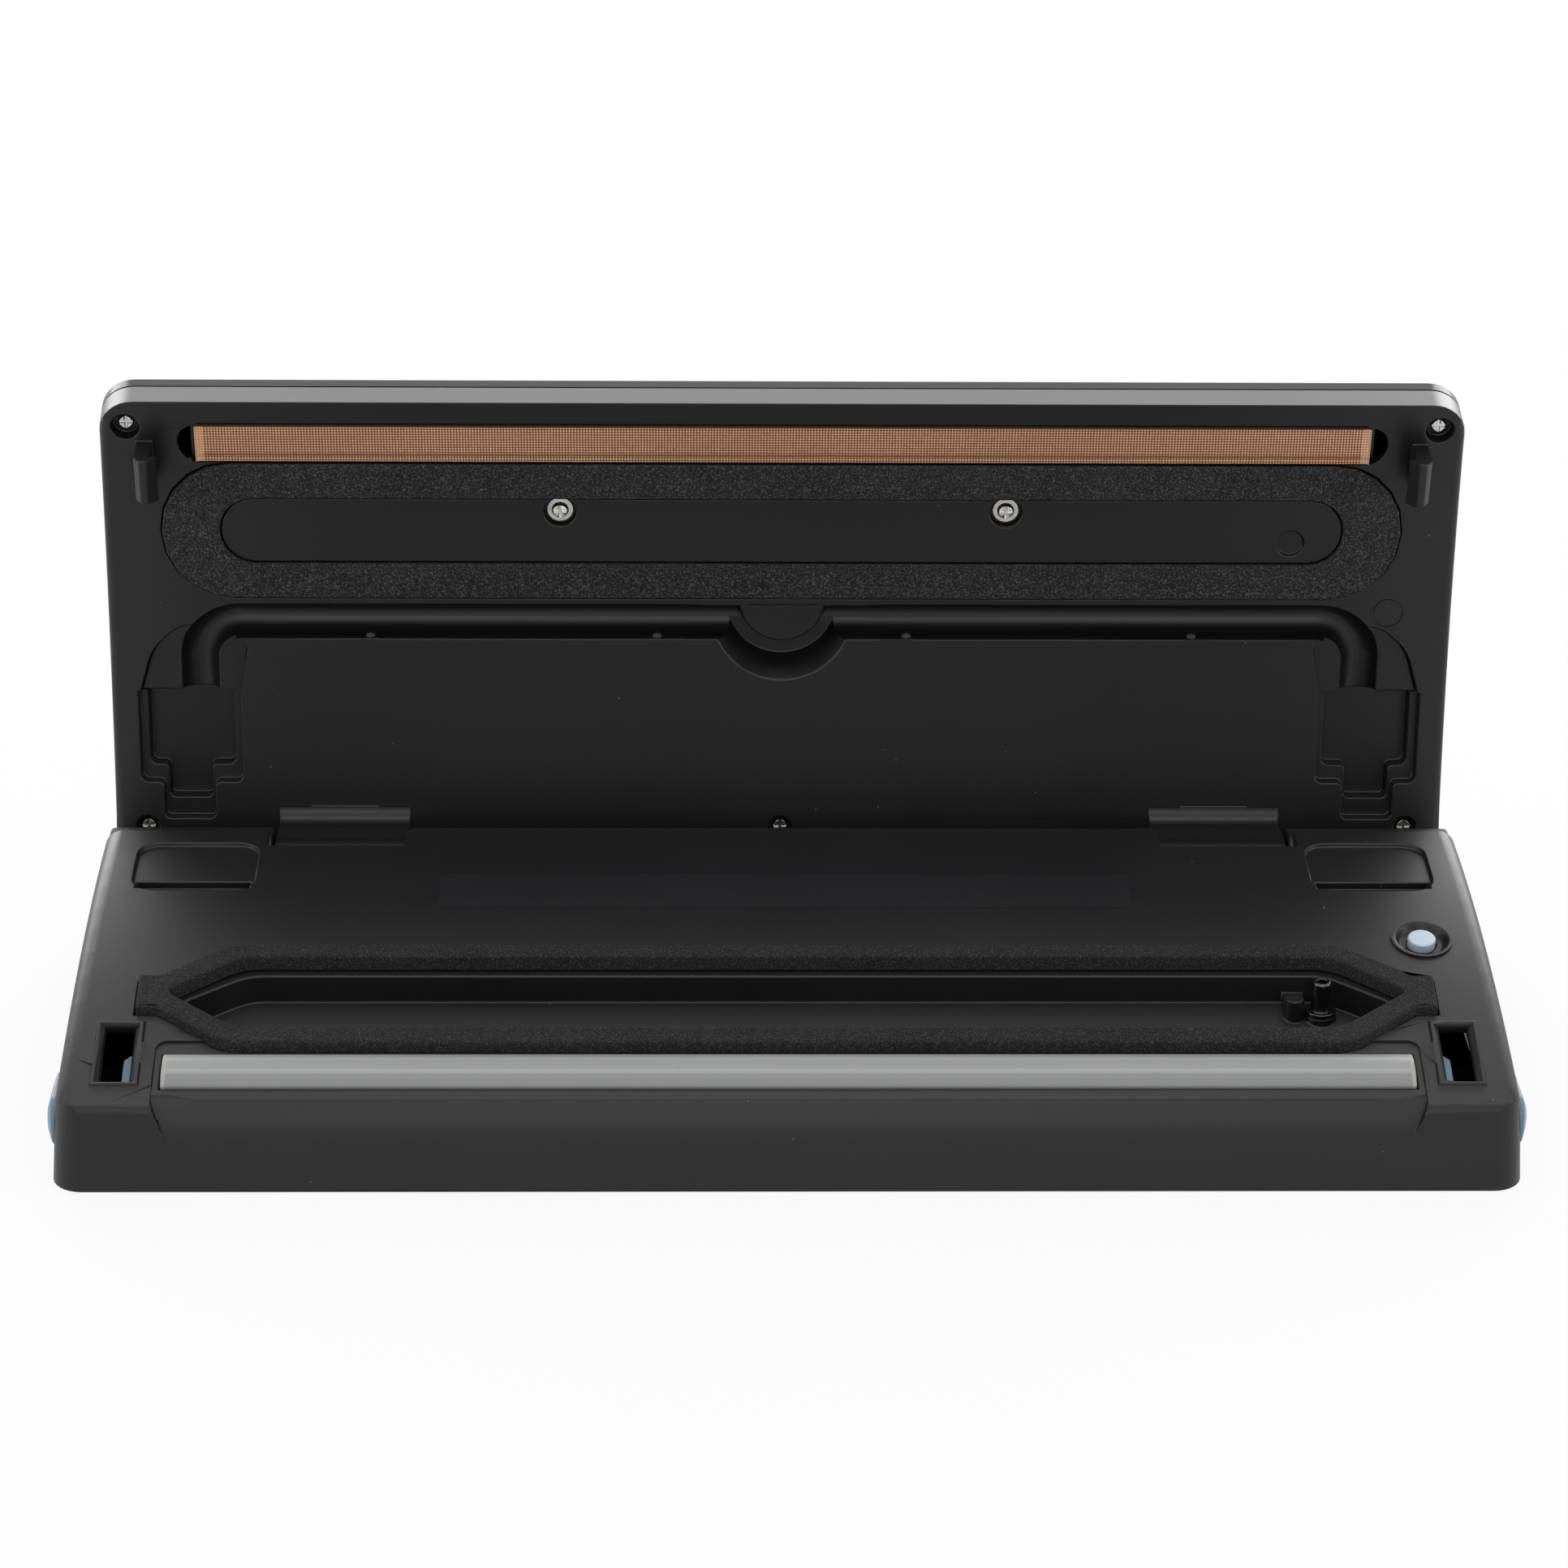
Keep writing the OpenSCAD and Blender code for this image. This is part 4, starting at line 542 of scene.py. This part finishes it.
def shut(place):
    """Where a point of the open lid lies once the lid is shut."""
    return HINGE + Matrix.Rotation(OPEN_ANGLE, 3, "X") @ (place - HINGE)


def outline_gap(place, half, front, back, corner):
    """How far a point lies outside a rounded outline, seen from above."""
    past_side = max(abs(place.x) - half + corner, 0.0)
    past_end = max(front + corner - place.y, place.y - back + corner, 0.0)
    return math.hypot(past_side, past_end) - corner


def lid_gap(place):
    """How far a point of the shut lid lies outside the lid's flaring walls."""
    rise = place.z - LID_LEVEL
    half, front = LID_HALF + rise * SIDE_FLARE, LID_FRONT - rise * FRONT_FLARE
    return outline_gap(place, half, front, LID_BACK, LID_CORNER)


def creases(shape):
    """The edges at which two faces meet at more than the crease angle."""
    least = math.cos(math.radians(CREASE_ANGLE))
    return [edge for edge in shape.edges if len(edge.link_faces) == 2
            and edge.link_faces[0].normal.dot(edge.link_faces[1].normal) < least]


def split_long(edges, longest):
    """Cuts long edges into runs, so that a rounding can stop part of the way along."""
    for edge in edges:
        corner = edge.verts[0]
        for left in range(int(edge.calc_length() / longest), 0, -1):
            corner = bmesh.utils.edge_split(edge, corner, 1.0 / (left + 1))[1]


def reaches(edge, points, radius):
    """Whether one of the points lies within the radius of an edge."""
    start, end = (vert.co for vert in edge.verts)
    run = end - start
    for point, _, _ in points.find_range((start + end) / 2, run.length / 2 + radius):
        part = min(1.0, max(0.0, (point - start).dot(run) / max(run.length_squared, 1e-14)))
        if (start + run * part - point).length < radius:
            return True
    return False


def folds(trial, made, skin, radius):
    """Where a bevel has left the old surface or turned a face over."""
    spots = []
    faces = set()
    for vert in made:
        if vert.is_valid:
            faces.update(vert.link_faces)
            if skin.find_nearest(vert.co)[3] > STRAY * radius:
                spots.append(vert.co.copy())
    for face in faces:
        if len(face.verts) < 9 and face.calc_area() > (MIN_FOLD * radius) ** 2:
            middle = face.calc_center_median()
            if skin.find_nearest(middle)[1].dot(face.normal) < FOLDED:
                spots.append(middle)
    return spots


def round_off(shape, radius, steps, wanted):
    """Rounds the wanted edges, and leaves sharp the short runs at which the bevel would fold over."""
    shape.normal_update()
    shape.edges.index_update()
    skin = BVHTree.FromBMesh(shape)
    chosen = {edge.index: edge for edge in wanted}
    for left in range(BEVEL_TRIES, 0, -1):
        trial = shape.copy()
        trial.edges.ensure_lookup_table()
        made = bmesh.ops.bevel(trial, geom=[trial.edges[index] for index in sorted(chosen)], offset=radius,
                               offset_type="OFFSET", segments=steps, profile=0.5, affect="EDGES",
                               clamp_overlap=False, material=-1)
        trial.normal_update()
        spots = folds(trial, made["verts"], skin, radius)
        if not spots or left == 1:
            break
        points = kdtree.KDTree(len(spots))
        for index, spot in enumerate(spots):
            points.insert(spot, index)
        points.balance()
        chosen = {index: edge for index, edge in chosen.items()
                  if not reaches(edge, points, CLEAR_OF_FOLD * radius)}
        trial.free()
    shape.free()
    return trial


def softened(node, radius, steps=2, first=(), prepare=None):
    """A merged copy of a CAD node with its edges rounded, the ones named first by their own larger radius."""
    shape = merged_copy(node)
    if prepare:
        prepare(shape)
    for larger, more_steps, choose in first:
        split_long([edge for edge in creases(shape) if choose(edge)], LARGE_RUN * larger)
        shape = round_off(shape, larger, more_steps, [edge for edge in creases(shape) if choose(edge)])
    split_long(creases(shape), SMALL_RUN * radius)
    return round_off(shape, radius, steps, creases(shape))


def rounded_piece(name, node, material, radius, steps=2, first=(), prepare=None):
    """Stands in for a CAD node, with its edges rounded as a moulding's are."""
    shape = softened(node, radius, steps, first, prepare)
    normals = even_normals(shape, lambda place: shut(place) if body_of(node) == "lid" else place)
    piece = new_piece(name, shape, material, node, SMOOTH_ANGLE)
    piece.data.normals_split_custom_set(normals)
    return piece


def rounded_shoulders(shape, radius, steps=6):
    """Rounds the base along both sides: cuts its top skin into strips and lowers them along the walls."""

    def inside(place):
        return BASE_HALF - SIDE_LEAN * (place.z - BASE_FOOT) - abs(place.x)

    def skin():
        faces = []
        for face in shape.faces:
            if face.normal.z > 0.12 and min(inside(vert.co) for vert in face.verts) < radius:
                middle = face.calc_center_median()
                on_deck = arc_radius(middle) > DECK_R - DECK_SKIN
                if middle.z > BASE_TOP_LEAST and (on_deck or middle.y < BASE_FRONT_TOP):
                    faces.append(face)
        return faces

    for step in range(steps):
        offset = radius * (1 - math.sin(math.pi / 2 * step / steps))
        for side in (-1, 1):
            faces = skin()
            parts = {part for face in faces for part in (*face.verts, *face.edges)}
            on_plane = (side * (BASE_HALF - offset), 0, BASE_FOOT)
            bmesh.ops.bisect_plane(shape, geom=[*parts, *faces], dist=CUT, plane_co=on_plane,
                                   plane_no=(side, 0, SIDE_LEAN))
            shape.normal_update()
    for vert in {vert for face in skin() for vert in face.verts}:
        depth = inside(vert.co)
        if depth < radius:
            fall = radius - math.sqrt(max(0.0, radius ** 2 - (radius - max(depth, 0.0)) ** 2))
            vert.co += Vector((math.copysign(SIDE_LEAN, vert.co.x), 0, -1)) * fall
    shape.normal_update()


def even_normals(shape, laid_flat):
    """Normals that keep broad faces evenly shaded, and follow the arc where a face is curved about its line."""
    least = math.cos(math.radians(SMOOTH_ANGLE))
    back = laid_flat(Vector((0, 1, 0))) - laid_flat(Vector((0, 0, 0)))
    turned_back = back.normalized().rotation_difference(Vector((0, 1, 0)))

    def radial(place):
        flat = laid_flat(place)
        direction = Vector((0, flat.y - ARC_Y, flat.z - ARC_Z)).normalized()
        return turned_back @ direction

    shape.normal_update()
    shape.faces.index_update()
    shape.verts.index_update()
    curved = {}
    for face in shape.faces:
        places = [vert.co for vert in face.verts]
        middle = Vector([(min(place[axis] for place in places) + max(place[axis] for place in places)) / 2
                         for axis in range(3)])
        facing = radial(middle).dot(face.normal)
        if abs(facing) > math.cos(math.radians(CURVED_ANGLE)):
            curved[face] = math.copysign(1.0, facing)
    shares = {face: max(face.calc_area(), 1e-12) ** NORMAL_SHARE for face in shape.faces}
    found = {}
    for vert in shape.verts:
        fan = {face: face for face in vert.link_faces}

        def lead(face):
            while fan[face] is not face:
                face = fan[face]
            return face

        for edge in vert.link_edges:
            faces = edge.link_faces
            if len(faces) == 2 and faces[0].normal.dot(faces[1].normal) > least:
                fan[lead(faces[0])] = lead(faces[1])
        outward = radial(vert.co)
        totals = {}
        for face in fan:
            normal = outward * curved[face] if face in curved else face.normal
            totals[lead(face)] = totals.get(lead(face), Vector()) + normal * shares[face]
        for face in fan:
            found[vert.index, face.index] = totals[lead(face)].normalized()
    return [found[loop.vert.index, face.index] for face in shape.faces for loop in face.loops]


def on_rim(edge, radius, reach):
    """Whether an edge of the lid lies on the arc of a radius and at the lid's outline."""
    places = [shut(vert.co) for vert in edge.verts]
    return all(abs(arc_radius(place) - radius) < RIM_REACH and abs(lid_gap(place)) < reach for place in places)


def on_face_rim(edge):
    """Whether an edge runs round the lid's inner face."""
    return on_rim(edge, LID_R, 0.6 * MM)


def on_cover_rim(edge):
    """Whether an edge runs round the lid's outer face."""
    return on_rim(edge, TOP_R, 0.8 * MM)


class SEALER_OT_base(bpy.types.Operator):
    """Finishes the housing, the deck film, the nozzle and the bottom"""
    bl_idname = "sealer.base"
    bl_label = "Base"

    def execute(self, context):
        look = plastics()
        housing = moulded("charcoal_plastic", look.housing, look.housing_roughness, specular=0.34,
                          dust=0.25, scuff=0.12)
        rounded_piece("base_housing", "base_shell", housing, look.edge,
                      prepare=lambda shape: rounded_shoulders(shape, look.shoulder))
        dress("bottom_cover", housing)
        dress("rubber_feet", moulded("foot_rubber", soft_parts().rubber, 0.75, grain=0.6 * MM, specular=0.3))
        film = moulded("deck_film_gloss", look.film, 0.34, grain=0.8 * MM, depth=0.004 * MM, specular=0.5,
                       Coat_Weight=0.15, Coat_Roughness=0.2)
        dress("notice_film", film)
        black = moulded("nozzle_plastic", look.panel, 0.20, depth=0.002 * MM, specular=0.7)
        rounded_piece("nozzle", "vacuum_nozzle", black, 0.25 * MM)
        rounded_piece("inlet_socket", "power_inlet", black, 0.2 * MM)
        return {"FINISHED"}


class SEALER_OT_lid(bpy.types.Operator):
    """Finishes the lid's inner panel, its cover and its controls"""
    bl_idname = "sealer.lid"
    bl_label = "Lid"

    def execute(self, context):
        look = plastics()
        panel = moulded("satin_black_plastic", look.panel, look.panel_roughness, depth=0.006 * MM,
                        specular=0.37, dust=0.35, scuff=0.3)
        rounded_piece("lid_lining", "lid_inner_panel", panel, 0.4 * MM,
                      first=((look.face_rim, 4, on_face_rim),))
        cover = gloss_cover(look.cover, look.cover_roughness)
        rounded_piece("lid_shell", "lid_cover", cover, 0.3 * MM,
                      first=((look.cover_rim, 5, on_cover_rim),))
        film = moulded("control_film", look.film, 0.20, depth=0.002 * MM, specular=0.5)
        dress("control_panel", film)
        keys = moulded("key_plastic", look.release, 0.36, specular=0.5)
        for key in ("seal_key", "vacuum_key", "stop_key"):
            rounded_piece(key + "_cap", key, keys, 0.35 * MM)
        dress("indicator_lenses", translucent("light_pipe", (0.70, 0.78, 0.82), 0.2, 1 * MM))
        return {"FINISHED"}


class SEALER_OT_gaskets(bpy.types.Operator):
    """Makes the two foam gaskets with soft edges"""
    bl_idname = "sealer.gaskets"
    bl_label = "Gaskets"

    def execute(self, context):
        for name, node, flecks in (("base_foam", "base_gasket", 0.5), ("lid_foam", "lid_gasket", 1.0)):
            foam = foam_finish(name + "_cells", flecks)
            ring = rounded_piece(name, node, foam, soft_parts().foam_edge, steps=3)
        return {"FINISHED"}


class SEALER_OT_sealing_strip(bpy.types.Operator):
    """Makes the silicone sealing strip"""
    bl_idname = "sealer.sealing_strip"
    bl_label = "Sealing strip"

    def execute(self, context):
        low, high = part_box("silicone_strip")
        finish = silicone_finish(high.x - 0.9 * MM, (low + high) / 2, Vector((0, 1, 0)))
        rounded_piece("sealing_strip", "silicone_strip", finish, 0.5 * MM, steps=3)
        return {"FINISHED"}


class SEALER_OT_heater(bpy.types.Operator):
    """Makes the heater tape and finishes what lies under it"""
    bl_idname = "sealer.heater"
    bl_label = "Heater"

    def execute(self, context):
        across, outward = tape_directions()
        if across.z < 0:
            across = -across
        low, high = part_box("heater_tape")
        run = high.x - low.x
        width = math.hypot(high.y - low.y, high.z - low.z) - CLOTH_SPARE
        shape = bmesh.new()
        bmesh.ops.create_grid(shape, x_segments=CLOTH_CELLS[0], y_segments=CLOTH_CELLS[1], size=0.5)
        for vert in shape.verts:
            part, height = vert.co.x, vert.co.y + 0.5
            end = min(part + 0.5, 0.5 - part) * run
            sag = noise.noise((part * 9.0, height * 0.8, 3.1)) * 0.10 * MM
            sag += noise.noise((part * 60.0, height * 3.0, 7.7)) * 0.025 * MM
            groove = math.exp(-((height - 0.19 - 0.012 * noise.noise((part * 14.0, 0.4, 9.2))) / 0.026) ** 2)
            lip = max(0.0, 1.0 - height / 0.10) ** 2 + max(0.0, (height - 0.93) / 0.07) ** 2
            tuck = max(0.0, 1.0 - end / (1.4 * MM)) ** 2
            lift = sag - groove * 0.20 * MM - lip * 0.22 * MM - 0.25 * MM * tuck
            place = (low + high) / 2 + across * ((height - 0.5) * width) + outward * (lift + 0.02 * MM)
            vert.co = Vector((part * run, place.y, place.z))
        bmesh.ops.recalc_face_normals(shape, faces=shape.faces)
        if sum((face.normal for face in shape.faces), Vector()).dot(outward) < 0:
            bmesh.ops.reverse_faces(shape, faces=shape.faces)
        weave = cloth_finish(across, (1, 0, 0), low, high)
        cloth = new_piece("heater_cloth", shape, weave, "heater_tape", CLOTH_SMOOTH)
        body = cloth.modifiers.new("cloth thickness", "SOLIDIFY")
        body.thickness = CLOTH_THICK
        body.offset = -1.0
        dress("heating_ribbon", plated("ribbon_alloy", metals().steel, 0.35, brushed=1.0))
        dress("heater_bar", moulded("heat_proof_bar", (0.07, 0.05, 0.035), 0.6, specular=0.4))
        dress("thermal_fuse", moulded("glazed_ceramic", (0.70, 0.68, 0.62), 0.25, depth=0.002 * MM))
        return {"FINISHED"}


def tape_directions():
    """The direction across the heater tape and the one out of it, from the tape's largest face."""
    mesh = frame["nodes"]["heater_tape"].data
    face = max(mesh.polygons, key=lambda polygon: (round(polygon.area, 9), -polygon.normal.y))
    outward = Vector((0.0, face.normal.y, face.normal.z)).normalized()
    return Vector((0.0, -outward.z, outward.y)), outward


class SEALER_OT_buttons(bpy.types.Operator):
    """Finishes the release buttons and the canister button"""
    bl_idname = "sealer.buttons"
    bl_label = "Buttons"

    def execute(self, context):
        look = plastics()
        blue = moulded("blue_grey_plastic", look.release, 0.42, specular=0.5)
        rounded_piece("left_release_pad", "left_release_button", blue, 0.35 * MM)
        rounded_piece("right_release_pad", "right_release_button", blue, 0.35 * MM)
        pale = moulded("pale_blue_plastic", look.canister, 0.30, depth=0.003 * MM, specular=0.5)
        rounded_piece("canister_cap", "canister_button", pale, 0.45 * MM, steps=3)
        return {"FINISHED"}


class SEALER_OT_fasteners(bpy.types.Operator):
    """Finishes the screws, washers, pins and springs"""
    bl_idname = "sealer.fasteners"
    bl_label = "Fasteners"

    def execute(self, context):
        nickel = plated("nickel_plate", metals().nickel, 0.24)
        steel = plated("plain_steel", metals().steel, 0.34, brushed=1.0)
        rounded_piece("lid_screw_set", "lid_screws", nickel, 0.15 * MM)
        rounded_piece("lid_washer_set", "lid_washers", nickel, 0.12 * MM)
        dress("base_screws", nickel)
        dress("inlet_pins", nickel)
        dress("hinge_pins", steel)
        dress("latch_springs", steel)
        return {"FINISHED"}


class SEALER_OT_works(bpy.types.Operator):
    """Finishes the pump, the transformer, the boards and the switches inside"""
    bl_idname = "sealer.works"
    bl_label = "Works"

    def execute(self, context):
        look = plastics()
        inner = moulded("inner_plastic", scaled(look.housing, 1.6), 0.6)
        for node in ("pump_head", "pump_cradle", "canister_switch", "microswitches"):
            dress(node, inner)
        dress("pump_motor", plated("motor_can", scaled(metals().steel, 1.2), 0.3))
        dress("vacuum_hose", translucent("milky_hose", (0.60, 0.60, 0.56), 0.3, 2 * MM))
        dress("transformer_core", laminated())
        dress("transformer_coil", winding())
        board = circuit_board()
        dress("main_board", board)
        dress("control_board", board)
        return {"FINISHED"}


def lamp(name, place, target, size, energy):
    """A soft rectangular lamp that the camera doesn't see."""
    data = bpy.data.lights.new(name, "AREA")
    data.shape = "RECTANGLE"
    data.size, data.size_y = size
    data.energy = energy
    obj = bpy.data.objects.new(name, data)
    bpy.context.scene.collection.objects.link(obj)
    place = Vector(place)
    turn = (Vector(target) - place).to_track_quat("-Z", "Y").to_matrix().to_4x4()
    obj.matrix_world = Matrix.Translation(place) @ turn
    obj.visible_camera = False


class SEALER_OT_stage(bpy.types.Operator):
    """Sets the camera, the pale floor and the soft light"""
    bl_idname = "sealer.stage"
    bl_label = "Stage"

    def execute(self, context):
        settings = stage_settings()
        scene = context.scene
        scene.view_settings.view_transform = "Standard"
        pitch, yaw, roll = (math.radians(angle) for angle in CAMERA_ANGLES)
        turn = Matrix.Rotation(yaw, 3, "Z")
        right = turn @ Vector((1, 0, 0))
        ahead = turn @ Vector((0, math.cos(pitch), -math.sin(pitch)))
        up = turn @ Vector((0, math.sin(pitch), math.cos(pitch)))
        side = math.cos(roll) * right + math.sin(roll) * up
        top = -math.sin(roll) * right + math.cos(roll) * up
        data = bpy.data.cameras.new("camera")
        data.sensor_width = SENSOR
        data.lens = LENS
        data.clip_end = CLIP_END
        camera = bpy.data.objects.new("camera", data)
        scene.collection.objects.link(camera)
        pose = Matrix((side, top, -ahead)).transposed().to_4x4()
        camera.matrix_world = Matrix.Translation(CAMERA_PLACE) @ pose
        scene.camera = camera

        floor = Finish("floor_paper", Specular_IOR_Level=0.0, Roughness=1.0)
        grain = floor.cloud(floor.place(), 0.4, 2.0)
        floor.set("Base Color", floor.shade(grain, scaled(settings.floor, 0.99), tuple(settings.floor)))
        rays = [floor.node("LightPath", output=name) for name in SEEN_RAYS]
        seen = rays[0] + rays[1] + rays[2]
        glow = floor.node("Emission", None, {"Color": (1, 1, 1), "Strength": 1.0})
        mixed = floor.node("MixShader", None, {0: seen.maths("MINIMUM", seen, 1.0) * FLOOR_GLOW})
        mixer = mixed.socket.node
        floor.tree.links.new(floor.shader.outputs[0], mixer.inputs[1])
        floor.tree.links.new(glow.socket, mixer.inputs[2])
        floor.tree.links.new(mixed.socket, floor.tree.nodes["Material Output"].inputs["Surface"])
        shape = bmesh.new()
        bmesh.ops.create_grid(shape, x_segments=8, y_segments=8, size=FLOOR_HALF)
        mesh = bpy.data.meshes.new("floor")
        shape.to_mesh(mesh)
        shape.free()
        mesh.materials.append(floor.material)
        sheet = bpy.data.objects.new("floor", mesh)
        scene.collection.objects.link(sheet)

        world = bpy.data.worlds.new("sky")
        scene.world = world
        world.use_nodes = True
        tree = world.node_tree
        sky = tree.nodes["Background"]
        sky.inputs["Color"].default_value = (1, 1, 1, 1)
        path = tree.nodes.new("ShaderNodeLightPath")
        seen = tree.nodes.new("ShaderNodeMath")
        seen.operation = "MAXIMUM"
        tree.links.new(path.outputs[SEEN_RAYS[0]], seen.inputs[0])
        tree.links.new(path.outputs[SEEN_RAYS[1]], seen.inputs[1])
        through = tree.nodes.new("ShaderNodeMath")
        through.operation = "MAXIMUM"
        tree.links.new(seen.outputs[0], through.inputs[0])
        tree.links.new(path.outputs[SEEN_RAYS[2]], through.inputs[1])
        level = tree.nodes.new("ShaderNodeMapRange")
        level.inputs["To Min"].default_value = settings.sky
        level.inputs["To Max"].default_value = 1.0
        tree.links.new(through.outputs[0], level.inputs["Value"])
        tree.links.new(level.outputs[0], sky.inputs["Strength"])

        lamp("key", (0.0, -0.05, 1.5), (0, 0, 0.05), (1.6, 1.0), settings.key)
        lamp("back", (0.0, 1.5, 1.15), (0, 0, 0.08), (2.2, 0.9), settings.back)
        lamp("fill", (0.0, -1.7, 0.9), (0, 0, 0.05), (1.4, 0.8), settings.fill)
        for side_x in (-1, 1):
            lamp("rim", (side_x * 0.95, 1.5, 0.42), (side_x * 0.15, 0, 0.03), (0.8, 0.7), settings.rim)
            lamp("side", (side_x * 1.3, -0.3, 0.5), (side_x * 0.1, 0, 0.05), (0.6, 0.8), settings.side)
        return {"FINISHED"}


class SEALER_PT_sidebar(bpy.types.Panel):
    """Lists the parts of the vacuum sealer"""
    bl_label = "Vacuum sealer"
    bl_idname = "SEALER_PT_sidebar"
    bl_space_type = "VIEW_3D"
    bl_region_type = "UI"
    bl_category = "Vacuum sealer"

    def draw(self, context):
        for operator in OPERATORS:
            self.layout.operator(operator.bl_idname)
        for group in GROUPS:
            settings = getattr(context.scene, group)
            for name in settings.bl_rna.properties.keys():
                if name not in ("rna_type", "name"):
                    self.layout.prop(settings, name)


GROUPS = {"sealer_plastics": SealerPlastics, "sealer_soft_parts": SealerSoftParts,
          "sealer_metals": SealerMetals, "sealer_stage": SealerStage}
OPERATORS = (SEALER_OT_stage, SEALER_OT_base, SEALER_OT_lid, SEALER_OT_gaskets, SEALER_OT_sealing_strip,
             SEALER_OT_heater, SEALER_OT_buttons, SEALER_OT_fasteners, SEALER_OT_works)
CLASSES = (*GROUPS.values(), *OPERATORS, SEALER_PT_sidebar)


def register():
    for cls in CLASSES:
        bpy.utils.register_class(cls)
    for name, group in GROUPS.items():
        setattr(bpy.types.Scene, name, bpy.props.PointerProperty(type=group))


def unregister():
    for name in GROUPS:
        delattr(bpy.types.Scene, name)
    for cls in reversed(CLASSES):
        bpy.utils.unregister_class(cls)


def main():
    register()
    bpy.ops.sealer.stage()
    bpy.ops.sealer.base()
    bpy.ops.sealer.lid()
    bpy.ops.sealer.gaskets()
    bpy.ops.sealer.sealing_strip()
    bpy.ops.sealer.heater()
    bpy.ops.sealer.buttons()
    bpy.ops.sealer.fasteners()
    bpy.ops.sealer.works()


if __name__ == "__main__":
    main()
